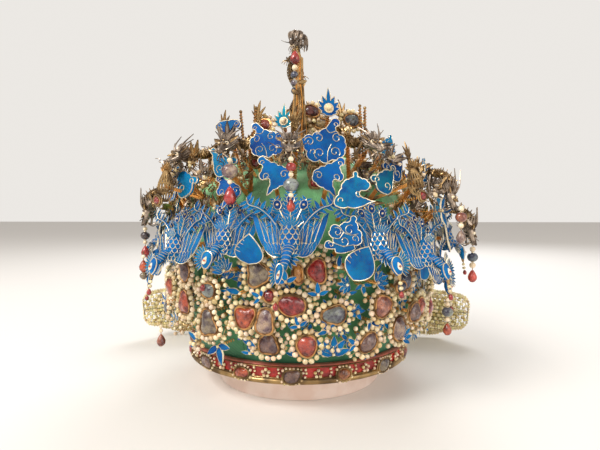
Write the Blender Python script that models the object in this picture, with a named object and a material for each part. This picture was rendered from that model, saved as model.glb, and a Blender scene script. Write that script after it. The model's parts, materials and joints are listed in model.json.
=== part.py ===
"""Phoenix crown on its display stand.

Z is up, the crown faces -Y, and the origin is the middle of the stand's foot.
Azimuths are degrees round the crown: 0 is the front, and they grow to the right as seen from the front.
Every ornament is drawn in its own frame in millimetres: x to the right as seen from outside the crown,
y up and z outward. place() carries that frame to a spot on the crown, in metres.
"""

import cmath
import math

import bmesh
import bpy
from mathutils import Matrix, Vector
from mathutils.bvhtree import BVHTree

# Driving sizes, in metres
MM = 0.001
GAP = 0.0003
STAND_RADIUS = 0.0755
RIM_BOTTOM = 0.0237
BAND_TOP = 0.0382
CAP_BASE_RADIUS = 0.0965
CAP_BELLY_RADIUS = 0.1070
CAP_BELLY_HEIGHT = 0.1150
CAP_TOP = 0.2060
CAP_WALL = 0.0020
BAND_RADIUS = 0.0995
MOULDING_RADIUS = 0.1020
PLATE_RADIUS = 0.0965
PLATE_THICKNESS = 0.0018
BAND_STONES = 16
STEM_RADIUS = 0.0009

CAP_SIDES = 32
STAND_SIDES = 28
BEAD_SIDES = 10


def cap_radius(height):
    """Outer radius of the cap: an upright foot inside the band, a swelling wall, then a full round crown."""
    foot = BAND_TOP + 0.0005
    if height <= foot:
        return CAP_BASE_RADIUS
    if height <= CAP_BELLY_HEIGHT:
        rise = (height - foot) / (CAP_BELLY_HEIGHT - foot)
        return CAP_BASE_RADIUS + (CAP_BELLY_RADIUS - CAP_BASE_RADIUS) * math.sin(rise * math.pi / 2)
    rise = min((height - CAP_BELLY_HEIGHT) / (CAP_TOP - CAP_BELLY_HEIGHT), 1.0)
    return CAP_BELLY_RADIUS * (1 - rise ** 2.4) ** (1 / 2.1)


# Materials

def material(name, colour, roughness, metallic):
    made = bpy.data.materials.new(name)
    made.use_nodes = True
    shader = made.node_tree.nodes["Principled BSDF"]
    shader.inputs["Base Color"].default_value = (*colour, 1.0)
    shader.inputs["Roughness"].default_value = roughness
    shader.inputs["Metallic"].default_value = metallic
    return made


def all_materials():
    return {
        "plaster": material("stand_plaster", (0.83, 0.63, 0.53), 0.75, 0.0),
        "cap": material("cap_lacquer", (0.10, 0.33, 0.17), 0.45, 0.0),
        "band": material("band_red", (0.42, 0.03, 0.03), 0.5, 0.0),
        "gold": material("aged_gold", (0.55, 0.33, 0.12), 0.4, 1.0),
        "feather": material("kingfisher_blue", (0.0, 0.15, 0.50), 0.45, 0.0),
        "stone": material("ruby_stone", (0.36, 0.03, 0.04), 0.15, 0.0),
        "pearl": material("pearl", (0.86, 0.74, 0.55), 0.3, 0.0),
        "lace": material("pearl_lace", (0.72, 0.68, 0.48), 0.5, 0.0),
    }


# Closed shapes, each a pair of points and faces

def skin(rings, points):
    """Faces between rings of point numbers, closed at both ends; a ring of one point is a tip."""
    sides = max(len(ring) for ring in rings)
    faces = []
    for low, high in zip(rings, rings[1:]):
        for k in range(sides):
            after = k + 1
            corners = [low[k % len(low)], low[after % len(low)]]
            corners += [high[after % len(high)], high[k % len(high)]]
            faces.append(list(dict.fromkeys(corners)))
    faces += [ring for ring in (rings[0][::-1], rings[-1]) if len(ring) > 1]
    return points, faces


def turned(rows, sides, depth=1.0):
    """Solid turned about y from rows of (height, radius); depth flattens it along z."""
    points, rings = [], []
    for height, radius in rows:
        count = sides if radius else 1
        rings.append(list(range(len(points), len(points) + count)))
        for k in range(count):
            angle = 2 * math.pi * k / count
            points.append(Vector((radius * math.cos(angle), height, depth * radius * math.sin(angle))))
    return skin(rings, points)


def tube(path, radii, sides):
    """Round section carried along a path, with a radius for each of its points; a radius of 0 is a tip."""
    path = [Vector(spot) for spot in path]
    points, rings = [], []
    side = None
    for k, (spot, radius) in enumerate(zip(path, radii)):
        heading = (path[min(k + 1, len(path) - 1)] - path[max(k - 1, 0)]).normalized()
        side = heading.orthogonal() if side is None else side - heading * side.dot(heading)
        side.normalize()
        other = heading.cross(side)
        count = sides if radius else 1
        rings.append(list(range(len(points), len(points) + count)))
        for j in range(count):
            angle = 2 * math.pi * j / count
            points.append(spot + radius * (math.cos(angle) * side + math.sin(angle) * other))
    return skin(rings, points)


def plate(outline, thickness, level=0.0):
    """Flat plate of an outline of (x, y), centred on z = level."""
    count = len(outline)
    points = [Vector((x, y, level + end * thickness / 2)) for end in (-1, 1) for x, y in outline]
    return skin([list(range(count)), list(range(count, 2 * count))], points)


def arc_outline(rows, steps):
    """Outline through rows of (x, y, bulge). A bulge is the tangent of a quarter of its arc's angle."""
    points = []
    for (x, y, bulge), (next_x, next_y, _) in zip(rows, rows[1:] + rows[:1]):
        start, end = complex(x, y), complex(next_x, next_y)
        if not bulge:
            points.append(start)
            continue
        centre = (start + end) / 2 + (end - start) * 1j * (1 - bulge ** 2) / (4 * bulge)
        sweep = 4 * math.atan(bulge)
        points += [centre + (start - centre) * cmath.exp(1j * sweep * k / steps) for k in range(steps)]
    return [(p.real, p.imag) for p in points]


STONE_FACETS = 8
STONE_TABLE = 0.62


def cut_stone(half_width, half_height, base, top):
    """Stone along z: a girdle, a row of sloping facets and a flat table, its share of the girdle's size."""
    points, rings = [], []
    for level, share in ((base, 1.0), (top, STONE_TABLE)):
        rings.append(list(range(len(points), len(points) + STONE_FACETS)))
        for k in range(STONE_FACETS):
            angle = 2 * math.pi * (k + 0.5) / STONE_FACETS
            x = half_width * share * math.cos(angle)
            y = half_height * share * math.sin(angle)
            points.append(Vector((x, y, level)))
    return skin(rings, points)


def smooth(knots, count):
    """count points along a Catmull-Rom curve through the knots."""
    knots = [Vector(k) for k in knots]
    ends = [2 * knots[0] - knots[1]] + knots + [2 * knots[-1] - knots[-2]]
    spots = []
    for n in range(count):
        at = n / (count - 1) * (len(knots) - 1)
        k = min(int(at), len(knots) - 2)
        t = at - k
        a, b, c, d = ends[k:k + 4]
        spots.append(0.5 * (2 * b + (c - a) * t + (2 * a - 5 * b + 4 * c - d) * t * t
                            + (3 * b - a - 3 * c + d) * t ** 3))
    return spots


def carried(shape, matrix):
    points, faces = shape
    return [matrix @ p for p in points], faces


def place(azimuth, height, radius, lean=0.0, turn=0.0, roll=0.0, scale=1.0, mirrored=False):
    """An ornament's frame on the crown. lean tips its top inward, turn swings it about y, roll about z."""
    a = math.radians(azimuth)
    right = Vector((math.cos(a), math.sin(a), 0))
    out = Vector((math.sin(a), -math.cos(a), 0))
    frame = Matrix((right, (0, 0, 1), out)).transposed().to_4x4()
    spot = Matrix.Translation(out * radius + Vector((0, 0, height)))
    turns = (Matrix.Rotation(-math.radians(lean), 4, "X") @ Matrix.Rotation(math.radians(turn), 4, "Y")
             @ Matrix.Rotation(math.radians(roll), 4, "Z"))
    size = Matrix.Diagonal((-MM * scale if mirrored else MM * scale, MM * scale, MM * scale, 1))
    return spot @ frame @ turns @ size


# Objects

def mesh_of(name, shape):
    points, faces = shape
    mesh = bpy.data.meshes.new(name)
    mesh.from_pydata(points, [], faces)
    loose = bpy.data.objects.new(name, mesh)
    bpy.context.scene.collection.objects.link(loose)
    return loose


def outward(mesh):
    work = bmesh.new()
    work.from_mesh(mesh)
    bmesh.ops.recalc_face_normals(work, faces=work.faces)
    work.to_mesh(mesh)
    work.free()


def joined(name, shapes, finish, cuts=()):
    """One object: the union of overlapping closed shapes in metres, with the cuts taken out of it."""
    body = mesh_of(name, shapes[0])
    outward(body.data)
    helpers = []
    for title, others, operation in (("join", shapes[1:], "UNION"), ("cut", cuts, "DIFFERENCE")):
        if not others:
            continue
        group = bpy.data.collections.new(f"{name}_{title}")
        for shape in others:
            helper = mesh_of(f"{name}_{title}", shape)
            outward(helper.data)
            group.objects.link(helper)
            helpers.append(helper)
        step = body.modifiers.new(title, "BOOLEAN")
        step.operation = operation
        step.operand_type = "COLLECTION"
        step.collection = group
        step.solver = "EXACT"
    if helpers:
        seen = body.evaluated_get(bpy.context.evaluated_depsgraph_get())
        result = bpy.data.meshes.new_from_object(seen)
        body.modifiers.clear()
        body.data = result
        for helper in helpers:
            bpy.data.objects.remove(helper)
    body.data.materials.clear()
    body.data.materials.append(finish)
    body.parent = bpy.data.objects["crown_frame"]
    return body


def tree_of(body):
    spots = [v.co.copy() for v in body.data.vertices]
    return BVHTree.FromPolygons(spots, [list(p.vertices) for p in body.data.polygons])


def wire_to(tree, start, aim, radius=STEM_RADIUS, sides=3):
    """Straight wire from start towards aim, ended GAP short of the first surface that it meets."""
    heading = (aim - start).normalized()
    spot, normal, _, _ = tree.ray_cast(start, heading)
    slant = abs(heading.dot(normal))
    stop = spot - heading * (GAP / slant + radius * math.sqrt(max(1 / slant ** 2 - 1, 0)))
    return tube([start, stop], [radius, radius], sides)


def cap_point(azimuth, height, depth=0.004):
    a = math.radians(azimuth)
    r = max(cap_radius(height) - depth, 0.0)
    return Vector((r * math.sin(a), -r * math.cos(a), height))


# Stand, cap and brow band

def stand(finish):
    top = RIM_BOTTOM - GAP - PLATE_THICKNESS - GAP
    upright = Matrix.Rotation(math.radians(90), 4, "X")
    drum = [(0, STAND_RADIUS), (top, STAND_RADIUS)]
    joined("stand_drum", [carried(turned(drum, STAND_SIDES), upright)], finish["plaster"])
    disc = [(top + GAP, PLATE_RADIUS), (top + GAP + PLATE_THICKNESS, PLATE_RADIUS)]
    joined("stand_plate", [carried(turned(disc, STAND_SIDES), upright)], finish["plaster"])


WALL_HEIGHTS = [BAND_TOP, 0.0700]
CROWN_HEIGHTS = [CAP_BELLY_HEIGHT, 0.1460, 0.1720, 0.1910]


def cap(finish):
    """Hollow cap, open below: one profile out and up to the top, then back down inside the wall."""
    foot, wall, crown = [RIM_BOTTOM], WALL_HEIGHTS, CROWN_HEIGHTS
    outer = [(h, cap_radius(h)) for h in foot + wall + crown] + [(CAP_TOP, 0)]
    inner = [(h - CAP_WALL * (h / CAP_TOP) ** 4, cap_radius(h) - CAP_WALL) for h in foot + crown]
    inner.append((CAP_TOP - CAP_WALL, 0))
    points, rings = [], []
    for height, radius in outer + inner[::-1]:
        count = CAP_SIDES if radius else 1
        rings.append(list(range(len(points), len(points) + count)))
        for k in range(count):
            angle = 2 * math.pi * k / count
            points.append(Vector((radius * math.cos(angle), radius * math.sin(angle), height)))
    _, faces = skin(rings, points)
    faces = [f for f in faces[:-2] if len(f) > 2]
    faces += [[low, high, rings[-1][(k + 1) % CAP_SIDES], rings[-1][k]]
              for k, (low, high) in enumerate(zip(rings[0], rings[0][1:] + rings[0][:1]))]
    return joined("cap", [(points, faces)], finish["cap"])


FOOT_EDGE_RADIUS = 0.1010
FOOT_EDGE_HEIGHT = 0.0022
MOULDING_HEIGHT = 0.0028
EDGE_SLOPE = 0.0011

# Half width and half height of the band's stones, a large and a small one in turn, and how they sit
BAND_STONE_SIZES = [(6.6, 4.9), (5.4, 4.4)]
BAND_STONE_BASE = -1.2
BAND_STONE_TOP = 3.4
BAND_STONE_HEIGHT = (RIM_BOTTOM + BAND_TOP) / 2 - 0.0008


def brow_band(finish):
    """Ring round the foot of the cap with a raised edge above and below, and stones set on it."""
    inner = CAP_BASE_RADIUS + GAP
    low, high = RIM_BOTTOM, BAND_TOP
    edge_top, moulding_low = low + FOOT_EDGE_HEIGHT, high - MOULDING_HEIGHT
    rows = [(inner, low), (FOOT_EDGE_RADIUS, low), (FOOT_EDGE_RADIUS, edge_top),
            (BAND_RADIUS, edge_top + EDGE_SLOPE), (BAND_RADIUS, moulding_low - EDGE_SLOPE),
            (MOULDING_RADIUS, moulding_low), (MOULDING_RADIUS, high - EDGE_SLOPE / 2),
            (inner + EDGE_SLOPE, high), (inner, high - EDGE_SLOPE / 2)]
    count = len(rows)
    points, faces = [], []
    for k in range(CAP_SIDES):
        angle = 2 * math.pi * k / CAP_SIDES
        points += [Vector((r * math.cos(angle), r * math.sin(angle), h)) for r, h in rows]
        here, after = k * count, (k + 1) % CAP_SIDES * count
        for j in range(count):
            above = (j + 1) % count
            faces.append([here + j, after + j, after + above, here + above])
    stones = []
    for k in range(BAND_STONES):
        frame = place(360 / BAND_STONES * k, BAND_STONE_HEIGHT, BAND_RADIUS)
        stone = cut_stone(*BAND_STONE_SIZES[k % 2], BAND_STONE_BASE, BAND_STONE_TOP)
        stones.append(carried(stone, frame))
    return joined("brow_band", [(points, faces)] + stones, finish["band"])


# Dragons: spine knots run from the neck to the tail, in the dragon's frame, whose origin is the neck

DRAGON_POSES = {
    "rearing": dict(
        spine=[(0, 0, 0), (0, -8, -5), (3, -22, -4), (-3, -38, -5), (3, -54, -5), (-2, -68, -5),
               (0, -78, -4)],
        girth=4.4, gaze=(0.35, -0.25, 0.9),
        legs=[(0.25, (9, -12, 2)), (0.30, (-9, -24, 3)), (0.68, (9, -58, 1)), (0.74, (-9, -70, 2))],
        tail=(0, -0.5, 0.8)),
    "facing": dict(
        spine=[(0, 0, 0), (0, 3, -8), (4, 4, -20), (-4, 2, -33), (2, 6, -45), (3, 15, -50), (0, 24, -46)],
        girth=3.9, gaze=(0.0, -0.35, 0.94),
        legs=[(0.25, (8, -7, -11)), (0.28, (-8, -7, -13)), (0.60, (9, -8, -32)), (0.62, (-9, -8, -36))],
        tail=(0.1, 0.9, 0.3)),
    "striding": dict(
        spine=[(0, 0, 0), (-2, 4, -7), (4, 2, -17), (-2, 6, -27), (2, 16, -35), (-1, 26, -38)],
        girth=3.6, gaze=(0.25, -0.45, 0.86),
        legs=[(0.25, (8, -6, -8)), (0.30, (-9, -5, -12)), (0.58, (8, -5, -27)), (0.62, (-8, -4, -29))],
        tail=(0.15, 0.95, 0.1)),
    "stooping": dict(
        spine=[(0, 0, 0), (0, 8, 1), (2, 14, -6), (-3, 16, -16), (2, 19, -26), (0, 28, -31)],
        girth=3.5, gaze=(0.05, -0.95, 0.3),
        legs=[(0.30, (9, 6, -4)), (0.36, (-9, 7, -6)), (0.62, (8, 8, -20)), (0.66, (-8, 9, -22))],
        tail=(-0.1, 0.9, -0.2)),
}

# name, azimuth, height, radius, pose, turn, mirrored, scale, foot of the stem as azimuth and height
DRAGONS = [
    ("dragon_top_front", 3, 0.2850, 0.064, "rearing", 0, False, 1.00, (3, 0.186)),
    ("dragon_centre", 0.5, 0.1935, 0.136, "facing", 0, False, 1.00, (0.5, 0.164)),
    ("dragon_left_1", -20, 0.1960, 0.128, "striding", -8, False, 1.00, (-20, 0.166)),
    ("dragon_right_1", 27, 0.1975, 0.126, "striding", 8, True, 1.00, (27, 0.166)),
    ("dragon_left_2", -37, 0.1905, 0.134, "striding", -10, False, 1.00, (-37, 0.160)),
    ("dragon_right_2", 51, 0.1640, 0.148, "stooping", 10, True, 1.00, (51, 0.150)),
    ("dragon_left_3", -66, 0.1520, 0.136, "stooping", -8, False, 1.05, (-66, 0.145)),
    ("dragon_right_3", 71, 0.1360, 0.152, "stooping", 8, True, 1.05, (71, 0.135)),
    ("dragon_top_back", 180, 0.2480, 0.060, "striding", 0, False, 1.00, (180, 0.188)),
    ("dragon_back_left", -128, 0.1900, 0.132, "striding", 0, False, 1.00, (-128, 0.160)),
    ("dragon_back_centre", 180, 0.1900, 0.134, "facing", 0, True, 0.95, (180, 0.162)),
    ("dragon_back_right", 128, 0.1900, 0.132, "striding", 0, True, 1.00, (128, 0.160)),
]

DRAGON_STATIONS = 8


def dragon_shapes(pose):
    """Winding body, blunt head with horns, four legs and a tufted tail."""
    spine = smooth(pose["spine"], DRAGON_STATIONS)
    girth = pose["girth"]
    radii = []
    for k in range(DRAGON_STATIONS):
        share = k / (DRAGON_STATIONS - 1)
        swell = 0.72 + 0.5 * math.sin(math.pi * min(share * 1.25 + 0.05, 1))
        radii.append(girth * swell * (1 - 0.6 * share ** 3))
    shapes = [tube(spine, radii, 5)]
    gaze = Vector(pose["gaze"]).normalized()
    side = gaze.cross(Vector((0, 1, 0)) if abs(gaze.y) < 0.9 else Vector((0, 0, 1))).normalized()
    crest = side.cross(gaze)
    head = [spine[0] + gaze * step for step in (-2.5, 3, 11.5)]
    shapes.append(tube(head, [2.8, 4.8, 2.1], 5))
    for sign in (-1, 1):
        root = spine[0] + gaze * 2.5 + side * sign * 2.2 + crest * 2.4
        tip = root - gaze * 10 + side * sign * 5 + crest * 5
        shapes.append(tube([root, tip], [1.5, 0.6], 3))
    for at, foot in pose["legs"]:
        hip = spine[round(at * (DRAGON_STATIONS - 1))]
        shapes.append(tube([hip, foot], [2.2, 1.5], 3))
    way = Vector(pose["tail"]).normalized()
    tuft = [spine[-1] + way * step for step in (-1.5, 4, 12)]
    shapes.append(tube(tuft, [1.6, 3.0, 0.6], 4))
    return shapes


def dragon_frame(row):
    _, azimuth, height, radius, _, turn, mirrored, scale, _ = row
    return place(azimuth, height, radius, turn=turn, mirrored=mirrored, scale=scale)


def dragons(finish, tree):
    for row in DRAGONS:
        name, pose, foot = row[0], DRAGON_POSES[row[4]], row[-1]
        frame = dragon_frame(row)
        shapes = [carried(shape, frame) for shape in dragon_shapes(pose)]
        spine = smooth(pose["spine"], DRAGON_STATIONS)
        start = frame @ spine[round(0.66 * (DRAGON_STATIONS - 1))]
        shapes.append(wire_to(tree, start, cap_point(*foot), radius=0.0012))
        joined(name, shapes, finish["gold"])


# Phoenixes

PHOENIX_BODY = [(-12, 0), (-9, 3.6), (-3, 6.4), (5, 5.6), (12, 0)]
WING = [(2.5, -8), (9, -12), (16, -11), (20, -4), (25, 18), (19, 5), (18, 14), (13.5, 4), (12, 13),
        (8, 4), (3, 7)]
CREST = [(-1, -3), (7, -7), (6, -1), (9, 5), (1, 4)]

# name, azimuth, height, radius, lean, turn, scale, mirrored, foot azimuth and height
PHOENIXES = [
    ("phoenix_front", 0.5, 0.1330, 0.1390, 10, 0, 1.00, False, (0.5, 0.134)),
    ("phoenix_left_1", -19.5, 0.1310, 0.1340, 10, 0, 0.92, False, (-19.3, 0.132)),
    ("phoenix_right_1", 26.3, 0.1280, 0.1370, 10, 0, 0.96, True, (26.3, 0.130)),
    ("phoenix_left_2", -36.0, 0.1250, 0.1410, 10, 0, 0.92, False, (-36.0, 0.126)),
    ("phoenix_right_2", 43.0, 0.1210, 0.1410, 10, 0, 0.92, True, (43.0, 0.122)),
    ("phoenix_left_3", -66.0, 0.1080, 0.1340, 8, 0, 0.92, False, (-66.0, 0.110)),
    ("phoenix_right_3", 62.0, 0.1040, 0.1380, 8, 0, 0.92, True, (62.0, 0.108)),
    ("phoenix_left_4", -92.0, 0.1250, 0.1360, 10, 0, 1.00, False, (-92.0, 0.126)),
    ("phoenix_right_4", 90.0, 0.1250, 0.1400, 10, 0, 1.00, True, (90.0, 0.126)),
]


def tail_outline():
    """Fan of five plumes with round tips, drawn anticlockwise from the lower right."""
    rows = [(4.0, -4.0, 0)]
    for k in (2, 1, 0, -1, -2):
        angle = math.radians(21 * k)
        reach = 33 - 2.2 * abs(k)
        way = complex(math.sin(angle), math.cos(angle))
        across = complex(way.imag, -way.real) * 3.1
        right, left = way * reach + across, way * reach - across
        rows += [(right.real, right.imag, 0.8), (left.real, left.imag, 0)]
        if k > -2:
            between = math.radians(21 * (k - 0.5))
            rows.append((18 * math.sin(between), 18 * math.cos(between), 0))
    rows.append((-4.0, -4.0, 0))
    return arc_outline(rows, 1)


def phoenix_shapes():
    """Hanging bird: round body, spread wings, upright tail fan, and a neck that droops to the head."""
    shapes = [turned(PHOENIX_BODY, 6, depth=0.85)]
    for sign in (-1, 1):
        swing = Matrix.Rotation(math.radians(16 * sign), 4, "Y")
        outline = [(sign * x, y) for x, y in WING][::sign]
        shapes.append(carried(plate(outline, 1.5, level=-0.5), swing))
    shapes.append(carried(plate(tail_outline(), 1.5, level=-3.6), Matrix.Rotation(math.radians(-7), 4, "X")))
    neck = [(0, -7, 2), (-2.5, -15, 9), (-6.5, -20.5, 12)]
    shapes.append(tube(neck, [3.6, 2.6, 2.8], 4))
    head = [(-6.4, -17.5, 12), (-7, -22.5, 12.4), (-8.2, -30, 12.4)]
    shapes.append(tube(head, [2.4, 4.1, 0.9], 5))
    crest = Matrix.Translation((-8.5, -20, 12)) @ Matrix.Rotation(math.radians(150), 4, "Z")
    shapes.append(carried(plate(CREST, 1.4), crest))
    return shapes


def phoenixes(finish, tree):
    for name, azimuth, height, radius, lean, turn, scale, mirrored, foot in PHOENIXES:
        frame = place(azimuth, height, radius, lean=lean, turn=turn, scale=scale, mirrored=mirrored)
        shapes = [carried(shape, frame) for shape in phoenix_shapes()]
        shapes.append(wire_to(tree, frame @ Vector((0, 1, -1)), cap_point(*foot), radius=0.0011))
        joined(name, shapes, finish["feather"])


# Clouds: rows of (x, y, bulge), anticlockwise from the lower left

CLOUD_OUTLINES = {
    "mountain": [(-10, -15, 0.35), (0, -15, 0.35), (5, -14, 0.15), (11, -9, 0.45), (14, -1, 0.45),
                 (10, 5, 0.1), (7, 10, 0.9), (2, 15, 0), (-5, 6, 0.35), (-9, 1, 0.55), (-15, -4, 0.75),
                 (-14, -11, 0.1)],
    "scroll": [(-2, -14, 0.1), (6, -10, 0.55), (12, -4, 0.6), (11, 4, 0.6), (6, 10, 0.7), (-3, 12, 0.6),
               (-10, 8, 0.6), (-13, 1, 0.6), (-9, -6, 0.1)],
    "bloom": [(-3, -12, 0.3), (3, -12, 0.1), (9, -8, 0.6), (14, -1, 0.6), (11, 6, 0.7), (4, 11, 0.7),
              (-5, 11, 0.7), (-12, 6, 0.6), (-14, -1, 0.6), (-9, -8, 0.1)],
    "drift": [(-14, -5, 0.5), (-5, -8, 0.5), (5, -7, 0.1), (17, -10, 0), (10, 0, 0.4), (7, 6, 0.6),
              (-1, 10, 0.6), (-9, 7, 0.6), (-14, 2, 0.6)],
}

# name, points on each lobe, then a row for each plate:
# outline, azimuth, height, radius, roll, mirrored, scale
CLOUDS = [
    ("cloud_front_left", 2, [("scroll", -8.8, 0.1990, 0.112, 0, False, 0.93),
                          ("scroll", -5.5, 0.1725, 0.119, 25, True, 0.80)]),
    ("cloud_front_right", 2, [("mountain", 12.5, 0.1975, 0.112, 0, False, 1.02),
                           ("drift", 12.0, 0.1715, 0.121, 0, False, 0.80)]),
    ("cloud_peak", 2, [("mountain", 18.5, 0.1640, 0.134, 0, False, 0.95)]),
    ("cloud_bloom", 2, [("bloom", 15.5, 0.1350, 0.123, 0, False, 0.85)]),
    ("cloud_bank_left", 1, [("scroll", -28.0, 0.2100, 0.104, 180, False, 0.75),
                         ("scroll", -24.5, 0.1830, 0.121, 10, False, 0.70),
                         ("scroll", -23.5, 0.1625, 0.120, 0, True, 0.70)]),
    ("cloud_bank_right", 1, [("scroll", 41.0, 0.2010, 0.105, 0, True, 0.80),
                          ("scroll", 38.0, 0.1800, 0.114, 0, False, 0.80),
                          ("mountain", 30.5, 0.1680, 0.120, 0, False, 0.80)]),
    ("cloud_side_left", 1, [("mountain", -39.0, 0.1690, 0.124, 0, True, 0.95),
                         ("scroll", -56.0, 0.1700, 0.120, 0, True, 0.90)]),
    ("cloud_side_right", 1, [("drift", 60.0, 0.1530, 0.133, 0, False, 0.85),
                          ("scroll", 62.0, 0.1800, 0.119, 0, False, 0.85)]),
    ("cloud_bank_back", 1, [("mountain", 150.0, 0.1860, 0.114, 0, False, 1.00),
                         ("bloom", 166.0, 0.1600, 0.124, 0, False, 0.90),
                         ("bloom", 194.0, 0.1600, 0.124, 0, False, 0.90),
                         ("mountain", 210.0, 0.1860, 0.114, 0, True, 1.00)]),
]


def cloud_shapes(steps, plates, tree):
    """Plates on stems; plates of one bank are soldered to each other by wires between their middles."""
    shapes, middles = [], []
    for outline, azimuth, height, radius, roll, mirrored, scale in plates:
        frame = place(azimuth, height, radius, lean=8, roll=roll, mirrored=mirrored, scale=scale)
        shapes.append(carried(plate(arc_outline(CLOUD_OUTLINES[outline], steps), 1.5), frame))
        middles.append(frame.to_translation())
        foot = cap_point(azimuth, min(height - 0.02, 0.175))
        if len(middles) in (1, len(plates)):
            shapes.append(wire_to(tree, middles[-1], foot))
    for one, other in zip(middles, middles[1:]):
        shapes.append(tube([one, other], [0.0009, 0.0009], 3))
    return shapes


def clouds(finish, tree):
    for name, steps, plates in CLOUDS:
        joined(name, cloud_shapes(steps, plates, tree), finish["feather"])


def flaming_pearl(finish, tree):
    """Pearl in a plate of flames, with the tallest flame at the top."""
    tips = 9
    outline = []
    for k in range(tips):
        middle = math.pi * (-0.5 + 2 * k / tips + 1 / tips)
        reach = 9.5 + 9.5 * max(math.sin(middle), 0) ** 6
        valley = math.pi * (-0.5 + 2 * k / tips)
        outline.append((6.6 * math.cos(valley), 6.6 * math.sin(valley)))
        outline.append((reach * 0.9 * math.cos(middle), reach * math.sin(middle)))
    frame = place(16.5, 0.2290, 0.098, lean=8)
    pearl = turned([(-3.4, 0), (-2, 2.9), (2, 2.9), (3.4, 0)], BEAD_SIDES)
    shapes = [carried(plate(outline, 1.5), frame), carried(pearl, frame @ Matrix.Translation((0, 0, 0.8)))]
    shapes.append(wire_to(tree, frame @ Vector((0, -4, 0)), cap_point(16.5, 0.182)))
    joined("flaming_pearl", shapes, finish["feather"])


# Flowers: a stone in a scalloped ring

# name, then a row for each flower:
# azimuth, height, radius, half width and half height of the stone, width of the ring round it, roll
FLOWERS = [
    ("flower_front_middle", [(0.5, 0.0863, 0.122, 9.2, 6.2, 5.0, 0)]),
    ("flower_front_upper_left", [(-9.4, 0.1084, 0.121, 7.9, 8.2, 4.8, 0)]),
    ("flower_front_upper_right", [(8.7, 0.1094, 0.121, 6.0, 8.0, 4.8, 0)]),
    ("flower_front_left", [(-15.0, 0.0776, 0.121, 7.0, 7.3, 5.0, 0)]),
    ("flower_front_right", [(14.8, 0.0791, 0.121, 8.2, 5.6, 5.0, 0)]),
    ("flower_front_lower_right", [(5.6, 0.0570, 0.117, 5.8, 7.4, 4.6, 0)]),
    ("flower_front_lower_left", [(-7.4, 0.0570, 0.117, 6.2, 6.8, 4.6, 0)]),
    ("flower_right_pink", [(32.5, 0.0824, 0.121, 7.6, 7.6, 5.0, 0)]),
    ("flower_left_oval", [(-40.5, 0.0800, 0.121, 7.4, 8.0, 5.0, 0)]),
    ("flowers_left", [(-26.5, 0.0680, 0.119, 6.8, 9.0, 4.0, 0), (-27.5, 0.0960, 0.121, 7.5, 6.5, 4.6, 0),
                      (-40.5, 0.1080, 0.121, 6.5, 6.5, 4.6, 0), (-52.5, 0.0930, 0.122, 6.5, 6.5, 4.6, 0)]),
    ("flowers_right", [(28.0, 0.0560, 0.117, 7.4, 5.4, 4.6, 30), (42.0, 0.0620, 0.118, 6.8, 8.2, 4.0, 0),
                       (54.0, 0.0760, 0.121, 6.0, 6.8, 4.6, 0), (43.5, 0.0990, 0.121, 6.5, 7.0, 4.4, 0)]),
    ("flowers_side_left", [(-66, 0.0700, 0.120, 7, 7, 4.8, 0), (-82, 0.0880, 0.121, 7, 7, 4.8, 0),
                           (-98, 0.0700, 0.120, 7, 7, 4.8, 0), (-114, 0.0880, 0.121, 7, 7, 4.8, 0)]),
    ("flowers_side_right", [(68, 0.0700, 0.120, 7, 7, 4.8, 0), (82, 0.0880, 0.121, 7, 7, 4.8, 0),
                            (98, 0.0700, 0.120, 7, 7, 4.8, 0), (114, 0.0880, 0.121, 7, 7, 4.8, 0)]),
    ("flowers_back", [(132, 0.0740, 0.119, 7, 7, 4.8, 0), (150, 0.0900, 0.120, 7, 7, 4.8, 0),
                      (168, 0.0720, 0.119, 7, 7, 4.8, 0), (188, 0.0900, 0.120, 7, 7, 4.8, 0),
                      (207, 0.0730, 0.119, 7, 7, 4.8, 0), (226, 0.0900, 0.120, 7, 7, 4.8, 0)]),
]


FLOWER_SIDES = 9


def flower_shapes(azimuth, height, radius, half_width, half_height, ring, roll):
    frame = place(azimuth, height, radius, roll=roll)
    outline = []
    for k in range(FLOWER_SIDES):
        angle = 2 * math.pi * k / FLOWER_SIDES
        outline.append(((half_width + ring) * math.cos(angle), (half_height + ring) * math.sin(angle)))
    return [carried(plate(outline, 2.6), frame), carried(cut_stone(half_width, half_height, 0.4, 5.0), frame)]


def flowers(finish, tree):
    for name, rows in FLOWERS:
        shapes = []
        for row in rows:
            azimuth, height, radius = row[:3]
            shapes += flower_shapes(*row)
            shapes.append(wire_to(tree, place(azimuth, height, radius) @ Vector((0, 0, 0)),
                                  cap_point(azimuth, height + 0.004)))
        for one, other in zip(rows, rows[1:]):
            ends = [place(*row[:3]) @ Vector((0, 0, -0.3)) for row in (one, other)]
            shapes.append(tube(ends, [0.0009, 0.0009], 3))
        joined(name, shapes, finish["stone"])


# Side fans: three blades on each side, one behind the other, that droop to the level of the stand's foot

FAN_BLADES = 3
FAN_THICKNESS = 2.0
FAN_OUTLINE = [(0, -7, 0), (40, -15, 0), (88, -21, 0), (128, -17, 0.45), (142, 0, 0.45), (128, 15, 0),
               (88, 21, 0), (40, 15, 0), (0, 7, 0)]

# Distance along the blade and half length of each pair of diamond holes
FAN_HOLES = [(58, 9.5), (98, 12.0)]
HOLE_SLENDERNESS = (0.8, 0.48)
HOLE_LEVEL = 0.65

# Root and tip of the first blade in metres, and what each blade behind it adds to them
FAN_ROOT = Vector((0.0500, 0.1130, 0.0460))
FAN_ROOT_STEP = Vector((-0.0110, 0.0075, -0.0050))
FAN_TIP = Vector((0.1990, 0.0860, 0.0315))
FAN_TIP_STEP = Vector((-0.0040, 0.0085, -0.0070))
FAN_SOCKET_AZIMUTH, FAN_SOCKET_STEP = 25.0, -6.0
FAN_WIRE_RADIUS = 0.0012


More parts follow.
